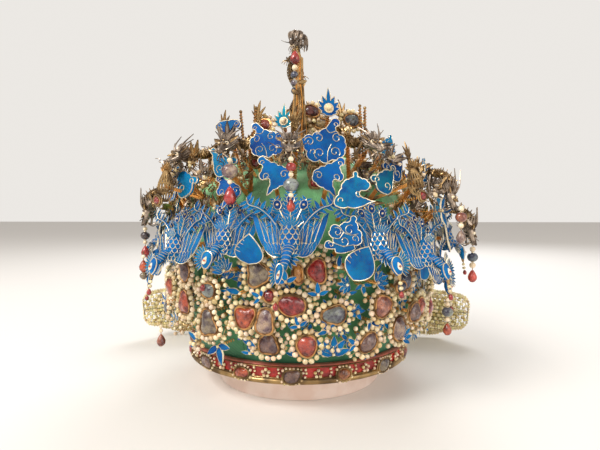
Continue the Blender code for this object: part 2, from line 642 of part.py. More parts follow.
def fan_frame(sign, blade):
    """Frame of a blade: x along it from root to tip, y up and z outward."""
    root, tip = FAN_ROOT + blade * FAN_ROOT_STEP, FAN_TIP + blade * FAN_TIP_STEP
    root.x *= sign
    tip.x *= sign
    along = (tip - root).normalized()
    behind = Vector((0, 1, 0)) - along * along.y
    behind.normalize()
    up = behind.cross(along) if sign < 0 else along.cross(-behind)
    turned_frame = Matrix((along, up, behind)).transposed().to_4x4()
    return Matrix.Translation(root) @ turned_frame @ Matrix.Diagonal((MM, MM, MM, 1))


def side_fans(finish, tree):
    wide, tall = HOLE_SLENDERNESS
    for side, sign in (("left", -1), ("right", 1)):
        for blade in range(FAN_BLADES):
            frame = fan_frame(sign, blade)
            shapes = [carried(plate(arc_outline(FAN_OUTLINE, 2), FAN_THICKNESS), frame)]
            holes = []
            for x, half in FAN_HOLES:
                for y in (-half * HOLE_LEVEL, half * HOLE_LEVEL):
                    reach, rise = half * wide, half * tall
                    diamond = [(x - reach, y), (x, y - rise), (x + reach, y), (x, y + rise)]
                    holes.append(carried(plate(diamond, 3 * FAN_THICKNESS), frame))
            a = math.radians(180 - sign * (FAN_SOCKET_AZIMUTH + FAN_SOCKET_STEP * blade))
            inside = CAP_BASE_RADIUS + GAP
            socket = Vector((inside * math.sin(a), -inside * math.cos(a), BAND_STONE_HEIGHT))
            shapes.append(wire_to(tree, frame @ Vector((3, 0, 0)), socket, radius=FAN_WIRE_RADIUS))
            joined(f"fan_{side}_{blade + 1}", shapes, finish["lace"], cuts=holes)


# Bead strings: rows of bead radii from the top down, hung from a dragon's jaw

STRINGS = [
    ("beads_top", "dragon_top_front", [2.4, 3.2, 3.6, 2.6, 3.0]),
    ("beads_centre", "dragon_centre", [2.2, 3.0, 2.2, 4.0, 3.4]),
    ("beads_left_1", "dragon_left_1", [2.0, 3.8, 2.0, 4.2]),
    ("beads_left_3", "dragon_left_3", [1.8, 3.2, 1.8, 4.4]),
    ("beads_right_3", "dragon_right_3", [2.4, 3.8, 2.8, 4.2]),
]
THREAD_RADIUS = 0.6
THREAD_LENGTH = 2.5
SNOUT_REACH = 9.5


def bead_rows(radii):
    """Turned profile of a hanging string, from its foot up to its thread."""
    rows, height = [], 0.0
    for radius in reversed(radii):
        for angle in (-58, 0, 58):
            a = math.radians(angle)
            rows.append((height + radius + radius * math.sin(a), radius * math.cos(a)))
        height += 2 * radius
    height += THREAD_LENGTH
    rows.append((height, THREAD_RADIUS))
    return rows, height


def bead_strings(finish):
    for name, holder, radii in STRINGS:
        row = next(r for r in DRAGONS if r[0] == holder)
        gaze = Vector(DRAGON_POSES[row[4]]["gaze"]).normalized()
        snout = dragon_frame(row) @ (gaze * SNOUT_REACH)
        tree = tree_of(bpy.data.objects[holder])
        jaw, _, _, _ = tree.ray_cast(snout - Vector((0, 0, 0.06)), Vector((0, 0, 1)))
        rows, length = bead_rows(radii)
        foot = Matrix.Translation(jaw - Vector((0, 0, GAP + length * MM)))
        hang = foot @ Matrix.Rotation(math.radians(90), 4, "X") @ Matrix.Diagonal((MM, MM, MM, 1))
        joined(name, [carried(turned(rows, BEAD_SIDES), hang)], finish["pearl"])


def build():
    for thing in list(bpy.data.objects):
        bpy.data.objects.remove(thing)
    frame = bpy.data.objects.new("crown_frame", None)
    bpy.context.scene.collection.objects.link(frame)
    finish = all_materials()
    stand(finish)
    cap_tree = tree_of(cap(finish))
    band_tree = tree_of(brow_band(finish))
    dragons(finish, cap_tree)
    phoenixes(finish, cap_tree)
    clouds(finish, cap_tree)
    flaming_pearl(finish, cap_tree)
    flowers(finish, cap_tree)
    side_fans(finish, band_tree)
    bead_strings(finish)


build()
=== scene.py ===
"""A phoenix crown on its stand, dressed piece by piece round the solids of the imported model.

The file is a lesson in cells. Lengths inside an ornament are millimetres in the ornament's own frame:
x to the right as seen from outside the crown, y up and z outward. Everything else is metres.
"""

# %% [markdown]
# The crown stands on a low pale drum. Its solids are already placed, so the lesson starts by loading them.
# Each solid gives the spot and the size of one real piece, and every cell below makes the fine surface that
# takes its place. The box of the solids is kept.

# %% Load the solids
import json
import math

import bpy
import numpy as np
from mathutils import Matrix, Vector
from numpy import arange, cos, linspace, pi, radians, sin

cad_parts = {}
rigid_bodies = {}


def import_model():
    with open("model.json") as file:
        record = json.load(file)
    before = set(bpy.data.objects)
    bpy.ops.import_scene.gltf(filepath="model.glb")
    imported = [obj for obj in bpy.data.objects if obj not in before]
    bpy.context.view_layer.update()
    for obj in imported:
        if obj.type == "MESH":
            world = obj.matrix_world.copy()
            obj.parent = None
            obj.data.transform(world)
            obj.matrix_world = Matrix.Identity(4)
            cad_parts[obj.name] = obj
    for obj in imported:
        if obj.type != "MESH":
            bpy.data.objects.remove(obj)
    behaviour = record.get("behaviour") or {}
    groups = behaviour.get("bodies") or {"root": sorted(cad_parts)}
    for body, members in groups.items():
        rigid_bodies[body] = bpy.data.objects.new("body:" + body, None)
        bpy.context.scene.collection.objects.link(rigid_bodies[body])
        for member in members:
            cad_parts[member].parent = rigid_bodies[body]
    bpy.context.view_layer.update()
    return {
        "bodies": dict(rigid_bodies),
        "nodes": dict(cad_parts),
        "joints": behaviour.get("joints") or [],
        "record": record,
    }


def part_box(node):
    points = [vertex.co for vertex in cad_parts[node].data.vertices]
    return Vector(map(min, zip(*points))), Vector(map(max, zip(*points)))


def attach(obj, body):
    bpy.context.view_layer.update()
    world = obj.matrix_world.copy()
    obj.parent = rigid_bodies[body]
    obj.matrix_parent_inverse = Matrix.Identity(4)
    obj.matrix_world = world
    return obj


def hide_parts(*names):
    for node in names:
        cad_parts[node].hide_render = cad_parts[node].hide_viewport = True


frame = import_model()
print("solids:", len(frame["nodes"]))

# %% [markdown]
# All ornaments sit on springs round a domed cap, so a spot is easiest to say the way a jeweller would: how
# far round, how high and how far out. One function turns those into a frame. The cap's own profile is a
# second function, because the springs have to land on it: an upright foot, a swelling wall and a full round
# top.

# %% Places on the crown
MM = 0.001
MILLIMETRES = np.diag([MM, MM, MM, 1.0])
RIM_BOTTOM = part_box("brow_band")[0].z
BAND_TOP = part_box("brow_band")[1].z
CAP_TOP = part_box("cap")[1].z
CAP_BASE_RADIUS = 0.0965
CAP_BELLY_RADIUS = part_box("cap")[1].x
CAP_BELLY_HEIGHT = 0.115
CAP_WALL = 0.002
SPRING_GAP = 0.0005


def cap_radius(height):
    """Outer radius of the cap at each height: sine swell up to the belly, then a rounded superellipse to the
    top."""
    foot = BAND_TOP + 0.0005
    swell = np.clip((height - foot) / (CAP_BELLY_HEIGHT - foot), 0, 1)
    lower = CAP_BASE_RADIUS + (CAP_BELLY_RADIUS - CAP_BASE_RADIUS) * sin(swell * pi / 2)
    rise = np.clip((height - CAP_BELLY_HEIGHT) / (CAP_TOP - CAP_BELLY_HEIGHT), 0, 1)
    return np.where(height <= CAP_BELLY_HEIGHT, lower, CAP_BELLY_RADIUS * (1 - rise ** 2.4) ** (1 / 2.1))


def turn_about(axis, degrees):
    """4 x 4 rotation by an angle about the x, y or z axis (0, 1, 2), for one angle or a whole row of them."""
    angle = radians(np.atleast_1d(np.asarray(degrees, float)))
    one, two = (axis + 1) % 3, (axis + 2) % 3
    turned_frame = np.zeros((len(angle), 4, 4))
    turned_frame[:, axis, axis] = turned_frame[:, 3, 3] = 1
    turned_frame[:, one, one] = turned_frame[:, two, two] = cos(angle)
    turned_frame[:, two, one] = sin(angle)
    turned_frame[:, one, two] = -sin(angle)
    return turned_frame


def place(azimuth, height, radius, lean=0.0, turn=0.0, roll=0.0, scale=1.0):
    """Ornament frame on the crown: lean tips the top inward, turn swings about y and roll about z. A scale
    under 0 also mirrors left and right."""
    a = math.radians(azimuth)
    spot = np.eye(4)
    spot[:3, 0] = math.cos(a), math.sin(a), 0
    spot[:3, 1] = 0, 0, 1
    spot[:3, 2] = math.sin(a), -math.cos(a), 0
    spot[:3, 3] = radius * math.sin(a), -radius * math.cos(a), height
    size = np.diag([scale, abs(scale), abs(scale), 1.0])
    size[:3] *= MM
    return spot @ turn_about(0, -lean)[0] @ turn_about(1, turn)[0] @ turn_about(2, roll)[0] @ size


def cap_point(azimuth, height, proud=0.0):
    """Point on the cap's outer surface, or proud of it."""
    a = math.radians(azimuth)
    radius = cap_radius(height) + proud
    return np.array([radius * math.sin(a), -radius * math.cos(a), height])


def carried(matrix, points):
    return np.asarray(points, float) @ matrix[:3, :3].T + matrix[:3, 3]


print("cap", round(CAP_BELLY_RADIUS * 2000), "mm wide, top at", round(CAP_TOP * 1000), "mm")

# %% [markdown]
# Nearly every part of the crown is wire, bead or leaf, repeated hundreds of times. So a surface is kept as
# plain arrays: its points, its faces, and for each point how much of it is raised edge wire. A copy is then
# only a multiplication by a frame, and a thousand pearls cost one line. The sign of the enclosed volume
# tells whether the faces point out, and turns them round if they don't.

# %% Surfaces as arrays
def grid_faces(rows, columns, ring_of_rows=False):
    """Four-cornered faces between neighbouring rows, where each row of points is a closed ring."""
    i = arange(rows if ring_of_rows else rows - 1)[:, None]
    j = arange(columns)[None, :]
    low, high, after = i * columns, (i + 1) % rows * columns, (j + 1) % columns
    return np.stack([low + j, low + after, high + after, high + j], -1).reshape(-1, 4)


def repeated(faces, count, step):
    """The same faces for count copies whose points lie step apart in the list."""
    return (faces[None] + step * arange(count)[:, None, None]).reshape(-1, faces.shape[1])


def enclosed(points, faces):
    """Six times the volume: the sum, over a fan of triangles in each face, of corner . (next x one after)."""
    total = 0
    for group in faces:
        corners = points[group]
        for k in range(1, group.shape[1] - 1):
            total += np.einsum("ij,ij->", corners[:, 0], np.cross(corners[:, k], corners[:, k + 1]))
    return total


class Surface:
    """Closed surface: points (n, 3), groups of equal-sided faces, and rim (n), 1 on edge wire and 0
    elsewhere."""

    def __init__(self, points, faces, rim=0.0):
        self.points = np.asarray(points, float).reshape(-1, 3)
        self.rim = np.array(np.broadcast_to(np.asarray(rim, float), len(self.points)))
        self.faces = [np.asarray(group) for group in faces]
        if enclosed(self.points - self.points.mean(0), self.faces) < 0:
            self.faces = [group[:, ::-1] for group in self.faces]

    def copies(self, frames):
        """One copy for each 4 x 4 frame: point = frame x point, with the faces turned round in a mirroring
        frame."""
        frames = np.asarray(frames).reshape(-1, 4, 4)
        points = np.einsum("kij,nj->kni", frames[:, :3, :3], self.points) + frames[:, None, :3, 3]
        faces = [repeated(group, len(frames), len(self.points)) for group in self.faces]
        return Surface(points, faces, np.tile(self.rim, len(frames)))


def frames(x=0.0, y=0.0, z=0.0, turn=0.0, tip=0.0, size=1.0, wide=1.0):
    """Frames in an ornament's plane: scaled, tipped about x, turned about z, then moved to (x, y, z)."""
    x, y, z, turn, tip, size, wide = np.broadcast_arrays(*np.atleast_1d(x, y, z, turn, tip, size, wide))
    made = turn_about(2, turn) @ turn_about(0, tip)
    made[:, :3, :3] *= size[:, None, None]
    made[:, :3, 0] *= wide[:, None]
    made[:, :3, 3] = xyz(x, y, z)
    return made


def unit(vectors):
    return vectors / np.maximum(np.linalg.norm(vectors, axis=-1, keepdims=True), 1e-12)


def circle(count):
    return 2 * pi * arange(count) / count


def xyz(x, y, z):
    """Points from three coordinates, each a number or an array that fits the others."""
    return np.stack(np.broadcast_arrays(x, y, z), -1)


def moved(parts, frame):
    """Parts, each a surface with its finish and perhaps a tint, carried by a frame."""
    return [(surface.copies(frame), *look) for surface, *look in parts]


# %% [markdown]
# A goldsmith's basic forms are drawn wire, the turned bead, the leaf cut from sheet and the cut-out plate.
# Each is worked out on a grid of two parameters. A wire is circles along a path. A turned form is a profile
# carried round an axis. A leaf is one cross-section, with a raised edge, scaled along a sine. Only the
# plate is different: its outline is drawn with arcs, and its two faces stay flat, as on the real cut sheet.

# %% Wire, turned form, leaf and plate
def wires(paths, radius, sides=5, closed=False):
    """Round wires along paths (k, n, 3): point = path + radius (cos a side + sin a other), where side is the
    heading crossed with whichever axis stays clearest of it."""
    paths = np.asarray(paths, float)
    paths = paths[None] if paths.ndim == 2 else paths
    count, length = paths.shape[:2]
    heading = np.roll(paths, -1, 1) - np.roll(paths, 1, 1) if closed else np.gradient(paths, axis=1)
    heading = unit(heading)
    across = np.cross(heading[:, :, None, :], np.eye(3))
    best = np.linalg.norm(across, axis=-1).min(axis=1).argmax(axis=1)
    side = unit(across[arange(count), :, best])
    other = np.cross(heading, side)
    angle = circle(sides)
    ring = side[:, :, None] * cos(angle)[:, None] + other[:, :, None] * sin(angle)[:, None]
    radius = np.broadcast_to(np.asarray(radius, float), (count, length))
    points = paths[:, :, None] + radius[:, :, None, None] * ring
    faces = [repeated(grid_faces(length, sides, closed), count, length * sides)]
    if not closed:
        start = arange(sides)[None]
        faces += [repeated(start[:, ::-1], count, length * sides),
            repeated(start + (length - 1) * sides, count, length * sides)]
    return Surface(points, faces)


def closed_wire(path, radius, sides):
    return wires(path, radius, sides, True)


def turned(rows, sides, depth=1.0):
    """Form turned about y from rows of (height, radius): x = r cos a, z = depth r sin a. Radius 0 is a
    pole."""
    rows = np.asarray(rows, float)
    low, high = rows[0, 1] == 0, rows[-1, 1] == 0
    body = rows[int(low):len(rows) - int(high)]
    angle = circle(sides)
    ring = xyz(body[:, 1:] * cos(angle), body[:, :1], depth * (body[:, 1:] * sin(angle))).reshape(-1, 3)
    poles = [[0, rows[0, 0], 0]] * int(low) + [[0, rows[-1, 0], 0]] * int(high)
    points = np.concatenate([ring, np.reshape(poles, (-1, 3))])
    here, after = arange(sides), (arange(sides) + 1) % sides
    top = (len(body) - 1) * sides
    faces = [grid_faces(len(body), sides)]
    faces.append(np.stack([after, here, np.full(sides, len(ring))], -1) if low else here[None, ::-1])
    faces.append(np.stack([here, after, np.full(sides, len(ring) + int(low)) - top], -1) + top if high
        else here[None] + top)
    return Surface(points, faces)


def ball_rows(steps):
    """Profile of a ball of radius 1: height = -cos b and radius = sin b, for b from 0 to pi."""
    b = linspace(0, pi, steps)
    rows = np.stack([-cos(b), sin(b)], -1)
    rows[[0, -1], 1] = 0
    return rows


BEAD = turned(ball_rows(6), 9)
SEED = turned(ball_rows(4), 6)
GRAIN = turned(ball_rows(4), 5)


def leaf(rows=5, half_width=0.16, thick=0.05, curve=0.0, arch=0.0, edge=0.82):
    """Blade of length 1 along y. At share u its half width is half_width sin(pi (0.04 + 0.93 u)^0.75)^0.8,
    its section has a raised wire on both sides from the share edge outward, and it drifts by curve u^2 in x
    and arch u^2 in z."""
    u = linspace(0, 1, rows)
    width = half_width * np.clip(sin(pi * (0.04 + 0.93 * u) ** 0.75), 0.03, 1) ** 0.8
    section = np.array([(-1, 0, 1), (-edge, 1, 1), (0.06 - edge, 0.4, 0), (0, 0.7, 0),
        (edge - 0.06, 0.4, 0), (edge, 1, 1), (1, 0, 1), (0, -0.7, 0)])
    points = np.empty((rows, len(section), 3))
    points[..., 0] = width[:, None] * section[:, 0] + curve * u[:, None] ** 2
    points[..., 1] = u[:, None]
    depth = thick * np.minimum(width / half_width + 0.3, 1)
    points[..., 2] = depth[:, None] * section[:, 1] + arch * u[:, None] ** 2
    end = arange(len(section))[None]
    faces = [grid_faces(rows, len(section)), end[:, ::-1], end + (rows - 1) * len(section)]
    return Surface(points, faces, np.tile(section[:, 2], rows))


def arcs(rows, steps):
    """Closed outline through rows of (x, y, bulge). The bulge is the tangent of a quarter of the arc's angle,
    so 0 is straight, and the arc's centre lies (1 - b^2) / 4b of the chord to its left."""
    rows = np.asarray(rows, float)
    start = rows[:, 0] + 1j * rows[:, 1]
    chord = np.roll(start, -1) - start
    bulge = np.where(np.abs(rows[:, 2]) < 1e-6, 1e-6, rows[:, 2])
    centre = start + chord / 2 + chord * 1j * (1 - bulge ** 2) / (4 * bulge)
    share = arange(steps) / steps
    turn = np.exp(4j * np.arctan(bulge)[:, None] * share)
    spots = centre[:, None] + (start - centre)[:, None] * turn
    straight = np.abs(rows[:, 2]) < 1e-6
    kept = np.ones(spots.shape, bool)
    kept[straight, 1:] = False
    line = spots[kept]
    return xyz(line.real, line.imag, 0)


def plate(outline, thickness, level=0.0):
    """Flat plate of a closed outline (n, 3), from level - thickness / 2 to level + thickness / 2."""
    count = len(outline)
    half = np.array([0, 0, thickness / 2])
    middle = np.array([0, 0, level])
    points = np.concatenate([outline + middle - half, outline + middle + half])
    ring = arange(count)[None]
    return Surface(points, [grid_faces(2, count), ring[:, ::-1], ring + count])


def smooth(knots, count):
    """count points on a Catmull-Rom curve through the knots, which blends four neighbouring knots at a
    time."""
    knots = np.asarray(knots, float)
    ends = np.concatenate([[2 * knots[0] - knots[1]], knots, [2 * knots[-1] - knots[-2]]])
    at = linspace(0, len(knots) - 1, count)
    k = np.minimum(at.astype(int), len(knots) - 2)
    t = (at - k)[:, None]
    a, b, c, d = ends[k], ends[k + 1], ends[k + 2], ends[k + 3]
    return 0.5 * (2 * b + (c - a) * t + (2 * a - 5 * b + 4 * c - d) * t ** 2 + (3 * b - a - 3 * c + d)
        * t ** 3)


def curl(x, y, radius, start, sweep, z, count):
    """Flat spiral wire: its radius shrinks to a quarter while its angle runs from start over sweep
    degrees."""
    share = linspace(0, 1, count)
    angle = radians(start + sweep * share)
    reach = radius * (1 - 0.75 * share)
    return xyz(x + reach * cos(angle), y + reach * sin(angle), z)


def coil(start, end, radius, pitch):
    """Helix from start to end, six points a turn: the line between them plus radius (cos a side + sin a
    other)."""
    start, end = np.asarray(start, float), np.asarray(end, float)
    length = np.linalg.norm(end - start)
    heading = (end - start) / length
    side = unit(np.cross(heading, [0.31, 0.22, 0.92]))
    other = np.cross(heading, side)
    turns = max(length / pitch, 1)
    share = linspace(0, 1, int(turns * 6) + 2)[:, None]
    angle = 2 * pi * turns * share
    return start + (end - start) * share + radius * (cos(angle) * side + sin(angle) * other)


print("bead", len(BEAD.points), "points; leaf", len(leaf().points), "points")

# %% [markdown]
# A real ornament is many materials soldered and glued into one thing, and so is a piece here. It gathers
# surfaces, each with a finish and a tint, and turns them into one mesh. The finish becomes the material of
# the faces. The tint and the edge-wire mask become attributes, so one stone material can serve a ruby and
# an agate.

# %% Pieces
FINISHES = {}
FEATHER, GOLD, WIRE, SILVER = "kingfisher_blue", "aged_gilt", "pale_wire", "taupe_silver"
tally = {}
SHARP_ANGLE = 50


def inlaid(outline, tint, thickness=1.4, level=0.0, rise=0.6, wire=0.38):
    """Feather plate with a pale wire on its edge."""
    return [(plate(outline, thickness, level), FEATHER, tint),
        (closed_wire(outline + [0, 0, rise], wire, 5), WIRE)]


class Piece:
    """Surfaces gathered into one mesh: add() takes millimetres and a frame, build() writes the mesh in
    metres."""

    def __init__(self, name):
        self.name = name
        self.gathered = []

    def add(self, surface, finish, tint=(1, 1, 1), at=np.eye(4)):
        tints = np.reshape(np.asarray(tint, float), (-1, 3))
        tints = np.repeat(tints, len(surface.points) // len(tints), 0)
        self.gathered.append((surface.copies(at), finish, tints))
        return self

    def add_all(self, parts, at):
        for surface, *look in parts:
            self.add(surface, *look, at=at)
        return self

    def build(self, slot, *nodes):
        finishes = list(dict.fromkeys(finish for _, finish, _ in self.gathered))
        points = np.concatenate([s.points for s, _, _ in self.gathered])
        corners, sizes, slots = [], [], []
        start = 0
        for surface, finish, _ in self.gathered:
            for group in surface.faces:
                corners.append(group.ravel() + start)
                sizes.append(np.full(len(group), group.shape[1]))
                slots.append(np.full(len(group), finishes.index(finish)))
            start += len(surface.points)
        corners, sizes = np.concatenate(corners), np.concatenate(sizes)
        mesh = bpy.data.meshes.new(self.name)
        mesh.vertices.add(len(points))
        mesh.loops.add(len(corners))
        mesh.polygons.add(len(sizes))
        mesh.vertices.foreach_set("co", points.astype(np.float32).ravel())
        mesh.loops.foreach_set("vertex_index", corners.astype(np.int32))
        mesh.polygons.foreach_set("loop_start", (np.cumsum(sizes) - sizes).astype(np.int32))
        mesh.polygons.foreach_set("material_index", np.concatenate(slots).astype(np.int32))
        mesh.polygons.foreach_set("use_smooth", np.ones(len(sizes), bool))
        for finish in finishes:
            mesh.materials.append(FINISHES[finish])
        rim = mesh.attributes.new("rim", "FLOAT", "POINT")
        rim.data.foreach_set("value", np.concatenate([s.rim for s, _, _ in self.gathered]).astype(np.float32))
        tints = np.concatenate([t for _, _, t in self.gathered])
        colour = mesh.attributes.new("tint", "FLOAT_COLOR", "POINT")
        colour.data.foreach_set("color", np.c_[tints, np.ones(len(tints))].astype(np.float32).ravel())
        mesh.update(calc_edges=True)
        mesh.set_sharp_from_angle(angle=math.radians(SHARP_ANGLE))
        made = bpy.data.objects.new(self.name, mesh)
        bpy.context.scene.collection.objects.link(made)
        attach(made, "root")
        if nodes:
            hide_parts(*nodes)
        tally[self.name] = int(np.sum(sizes - 2))
        print(self.name, tally[self.name], "triangles")
        return made


# %% [markdown]
# A finish is easier to judge in layers: what the maker laid down, then what a few hundred years did to it.
# The layers that several finishes share are node groups: uneven colour, tarnish, settled dust, the fine
# barbs of the feather inlay and the weave of cloth. They all read Object coordinates, so a pattern keeps
# its real size.

# %% Layers that finishes share
class Layout:
    """A node tree being laid out. node() adds one node, and links or fills the inputs that it is given."""

    def __init__(self, tree):
        self.tree = tree

    def node(self, kind, inputs=None, **settings):
        made = self.tree.nodes.new("ShaderNode" + kind)
        for key, value in settings.items():
            setattr(made, key, value)
        for key, value in (inputs or {}).items():
            self.fill(made.inputs[key], value)
        return made

    def fill(self, socket, value):
        if isinstance(value, bpy.types.NodeSocket):
            self.tree.links.new(value, socket)
        elif socket.type == "RGBA":
            socket.default_value = (*value[:3], 1)
        else:
            socket.default_value = value

    def give(self, sockets, **values):
        """Fills the named sockets. A name has _ where the socket has a space."""
        for name, value in values.items():
            self.fill(sockets[name.replace("_", " ")], value)

    def mix(self, share, one, two, blend="MIX"):
        made = self.node("Mix", data_type="RGBA", blend_type=blend)
        for index, value in ((0, share), (6, one), (7, two)):
            self.fill(made.inputs[index], value)
        return made.outputs[2]

    def ramp(self, value, low, high, bottom=0.0, top=1.0):
        made = self.node("MapRange", {"Value": value, "From Min": low, "From Max": high, "To Min": bottom,
            "To Max": top}, interpolation_type="SMOOTHSTEP")
        return made.outputs["Result"]

    def times(self, one, two):
        made = self.node("Math", operation="MULTIPLY")
        self.fill(made.inputs[0], one)
        self.fill(made.inputs[1], two)
        return made.outputs[0]

    def noise(self, scale, detail=3.0):
        spot = self.node("TexCoord").outputs["Object"]
        return self.node("TexNoise", {"Vector": spot, "Scale": scale, "Detail": detail}).outputs["Fac"]


def layer(name, inputs, outputs):
    """Empty group with named sockets: returns its layout, its input sockets and its output node."""
    tree = bpy.data.node_groups.new(name, "ShaderNodeTree")
    kinds = {"colour": "NodeSocketColor", "number": "NodeSocketFloat"}
    for socket, kind in inputs.items():
        tree.interface.new_socket(socket, in_out="INPUT", socket_type=kinds[kind])
    for socket, kind in outputs.items():
        tree.interface.new_socket(socket, in_out="OUTPUT", socket_type=kinds[kind])
    return Layout(tree), tree.nodes.new("NodeGroupInput").outputs, tree.nodes.new("NodeGroupOutput").inputs


mottle, given, out = layer("Uneven colour", {"Scale": "number"}, {"Mask": "number", "Speck": "number"})
broad = mottle.noise(given["Scale"], 4)
fine = mottle.noise(mottle.times(given["Scale"], 7), 2)
mottle.give(out, Mask=mottle.ramp(broad, 0.35, 0.65), Speck=mottle.ramp(fine, 0.58, 0.7))

tarnish, given, out = layer("Tarnish", {"Bright": "colour", "Dark": "colour", "Scale": "number",
    "Amount": "number"}, {"Colour": "colour", "Roughness": "number"})
patches = tarnish.ramp(tarnish.noise(given["Scale"], 5), 0.4, 0.62)
share = tarnish.times(patches, given["Amount"])
tarnish.give(out, Colour=tarnish.mix(share, given["Bright"], given["Dark"]),
    Roughness=tarnish.ramp(share, 0, 1, 0.34, 0.6))

dust, given, out = layer("Settled dust", {"Colour": "colour", "Amount": "number"}, {"Colour": "colour"})
up = dust.node("SeparateXYZ", {0: dust.node("NewGeometry").outputs["Normal"]}).outputs["Z"]
lying = dust.times(dust.ramp(up, 0.1, 1), dust.ramp(dust.noise(90), 0.3, 0.7))
dust.give(out, Colour=dust.mix(dust.times(lying, given["Amount"]), given["Colour"], (0.42, 0.37, 0.31)))

barbs, given, out = layer("Feather barbs", {"Scale": "number"}, {"Height": "number", "Shade": "number"})
spot = barbs.node("TexCoord").outputs["Object"]
strand = barbs.node("TexWave", {"Vector": spot, "Scale": given["Scale"], "Distortion": 9, "Detail": 2,
    "Detail Scale": 0.6}, bands_direction="DIAGONAL").outputs["Fac"]
barbs.give(out, Height=strand, Shade=barbs.times(strand, barbs.ramp(barbs.noise(260), 0.3, 0.7, 0.35, 1)))

weave, given, out = layer("Cloth weave", {"Scale": "number"}, {"Height": "number"})
spot = weave.node("TexCoord").outputs["Object"]
warp = weave.node("TexWave", {"Vector": spot, "Scale": given["Scale"]}, bands_direction="Z").outputs["Fac"]
weft = weave.node("TexWave", {"Vector": spot, "Scale": given["Scale"]},
    bands_direction="DIAGONAL").outputs["Fac"]
weave.give(out, Height=weave.times(warp, weft))
print("shared layers:", [group.name for group in bpy.data.node_groups])

# %% [markdown]
# The blue is feather: strips of kingfisher barbs glued into cells of gilt wire. It is not one blue. It
# turns from cobalt to azure and teal with the lie of the barbs, and the old plates have browned patches.
# Gilt, silver, stone and pearl need the same care: gold is bright where it is rubbed and brown where it is
# not, a stone has clouds and dark inclusions, and a drilled pearl is cream rather than white.

# %% Finishes
def finish(name, **fixed):
    """New material with its shader's constant sockets set. Returns its layout and the shader's inputs."""
    made = bpy.data.materials.new(name)
    made.use_nodes = True
    tree = Layout(made.node_tree)
    made.node_tree.nodes.clear()
    shader = tree.node("BsdfPrincipled")
    tree.fill(tree.node("OutputMaterial").inputs["Surface"], shader.outputs["BSDF"])
    tree.give(shader.inputs, **fixed)
    FINISHES[name] = made
    return tree, shader.inputs


def use(tree, group, **inputs):
    """A shared layer placed in a finish with its own values."""
    made = tree.node("Group")
    made.node_tree = bpy.data.node_groups[group]
    tree.give(made.inputs, **inputs)
    return made.outputs


def mottled(tree, scale):
    return use(tree, "Uneven colour", Scale=scale)


def dusty(tree, colour, amount):
    return use(tree, "Settled dust", Colour=colour, Amount=amount)["Colour"]


def dyed(tree, colour, tint):
    return tree.mix(1, colour, tint, "MULTIPLY")


def emboss(tree, height, depth, distance=0.0003):
    return tree.node("Bump", {"Height": height, "Strength": depth, "Distance": distance}).outputs["Normal"]


def painted(tree, name):
    return tree.node("Attribute", attribute_name=name, attribute_type="GEOMETRY").outputs


BLUE_DEEP = (0.0005, 0.04, 0.2)
BLUE_BRIGHT = (0, 0.135, 0.42)
TEAL = (0, 0.19, 0.33)
BLUE_WORN = (0.035, 0.05, 0.075)
PALE_GOLD = (0.9, 0.8, 0.58)
GILT = (0.5, 0.33, 0.15)
GILT_OLD = (0.085, 0.05, 0.028)

tree, shader = finish("kingfisher_blue", Specular_IOR_Level=0.15)
hue = mottled(tree, 55)
grey = mottled(tree, 140)
strands = use(tree, "Feather barbs", Scale=420)
edge = painted(tree, "rim")["Fac"]
tint = painted(tree, "tint")["Color"]
blue = tree.mix(hue["Mask"], BLUE_BRIGHT, BLUE_DEEP)
blue = tree.mix(tree.times(grey["Mask"], 0.45), blue, TEAL)
blue = tree.mix(tree.times(strands["Shade"], 0.35), blue, (0, 0.2, 0.45))
blue = tree.mix(tree.times(grey["Speck"], 0.55), blue, BLUE_WORN)
blue = dyed(tree, blue, tint)
blue = dusty(tree, blue, 0.03)
tree.give(shader, Base_Color=tree.mix(edge, blue, PALE_GOLD), Metallic=tree.times(edge, 0.75),
    Roughness=tree.ramp(strands["Height"], 0, 1, 0.42, 0.58), Normal=emboss(tree, strands["Height"], 0.35))

for name, bright, dark, scale, amount in (
        ("pale_wire", PALE_GOLD, (0.48, 0.36, 0.22), 160, 0.6), ("aged_gilt", GILT, GILT_OLD, 120, 0.85),
        ("spring_gilt", (0.92, 0.45, 0.11), (0.5, 0.2, 0.05), 90, 0.65),
        ("taupe_silver", (0.4, 0.32, 0.25), (0.07, 0.05, 0.04), 150, 0.85),
        ("collet_gilt", (0.66, 0.35, 0.13), (0.14, 0.06, 0.03), 190, 0.95),
        ("bronze_edge", (0.42, 0.27, 0.11), (0.1, 0.06, 0.03), 60, 0.85)):
    tree, shader = finish(name, Metallic=0.9)
    metal = use(tree, "Tarnish", Bright=bright, Dark=dark, Scale=scale, Amount=amount)
    pits = mottled(tree, scale * 4)
    tree.give(shader, Base_Color=dusty(tree, metal["Colour"], 0.18), Roughness=metal["Roughness"],
        Normal=emboss(tree, pits["Mask"], 0.25, 0.0002))

tree, shader = finish("set_stone", Coat_Roughness=0.04, Specular_IOR_Level=0.6)
clouds = mottled(tree, 170)
veins = mottled(tree, 420)
tint = painted(tree, "tint")["Color"]
glow = tree.mix(0.04, dyed(tree, tint, (1.35, 1.4, 0.9)), (0.8, 0.45, 0.26))
stone = tree.mix(clouds["Mask"], glow, dyed(tree, tint, (0.26, 0.18, 0.24)))
stone = tree.mix(tree.times(veins["Mask"], 0.35), stone, tint)
stone = tree.mix(tree.times(clouds["Speck"], 0.8), stone, (0.02, 0.015, 0.03))
tree.give(shader, Base_Color=stone, Roughness=tree.ramp(veins["Mask"], 0, 1, 0.16, 0.42),
    Coat_Weight=tree.ramp(clouds["Mask"], 0, 1, 0.7, 0.3), Normal=emboss(tree, veins["Mask"], 0.35, 0.0004))

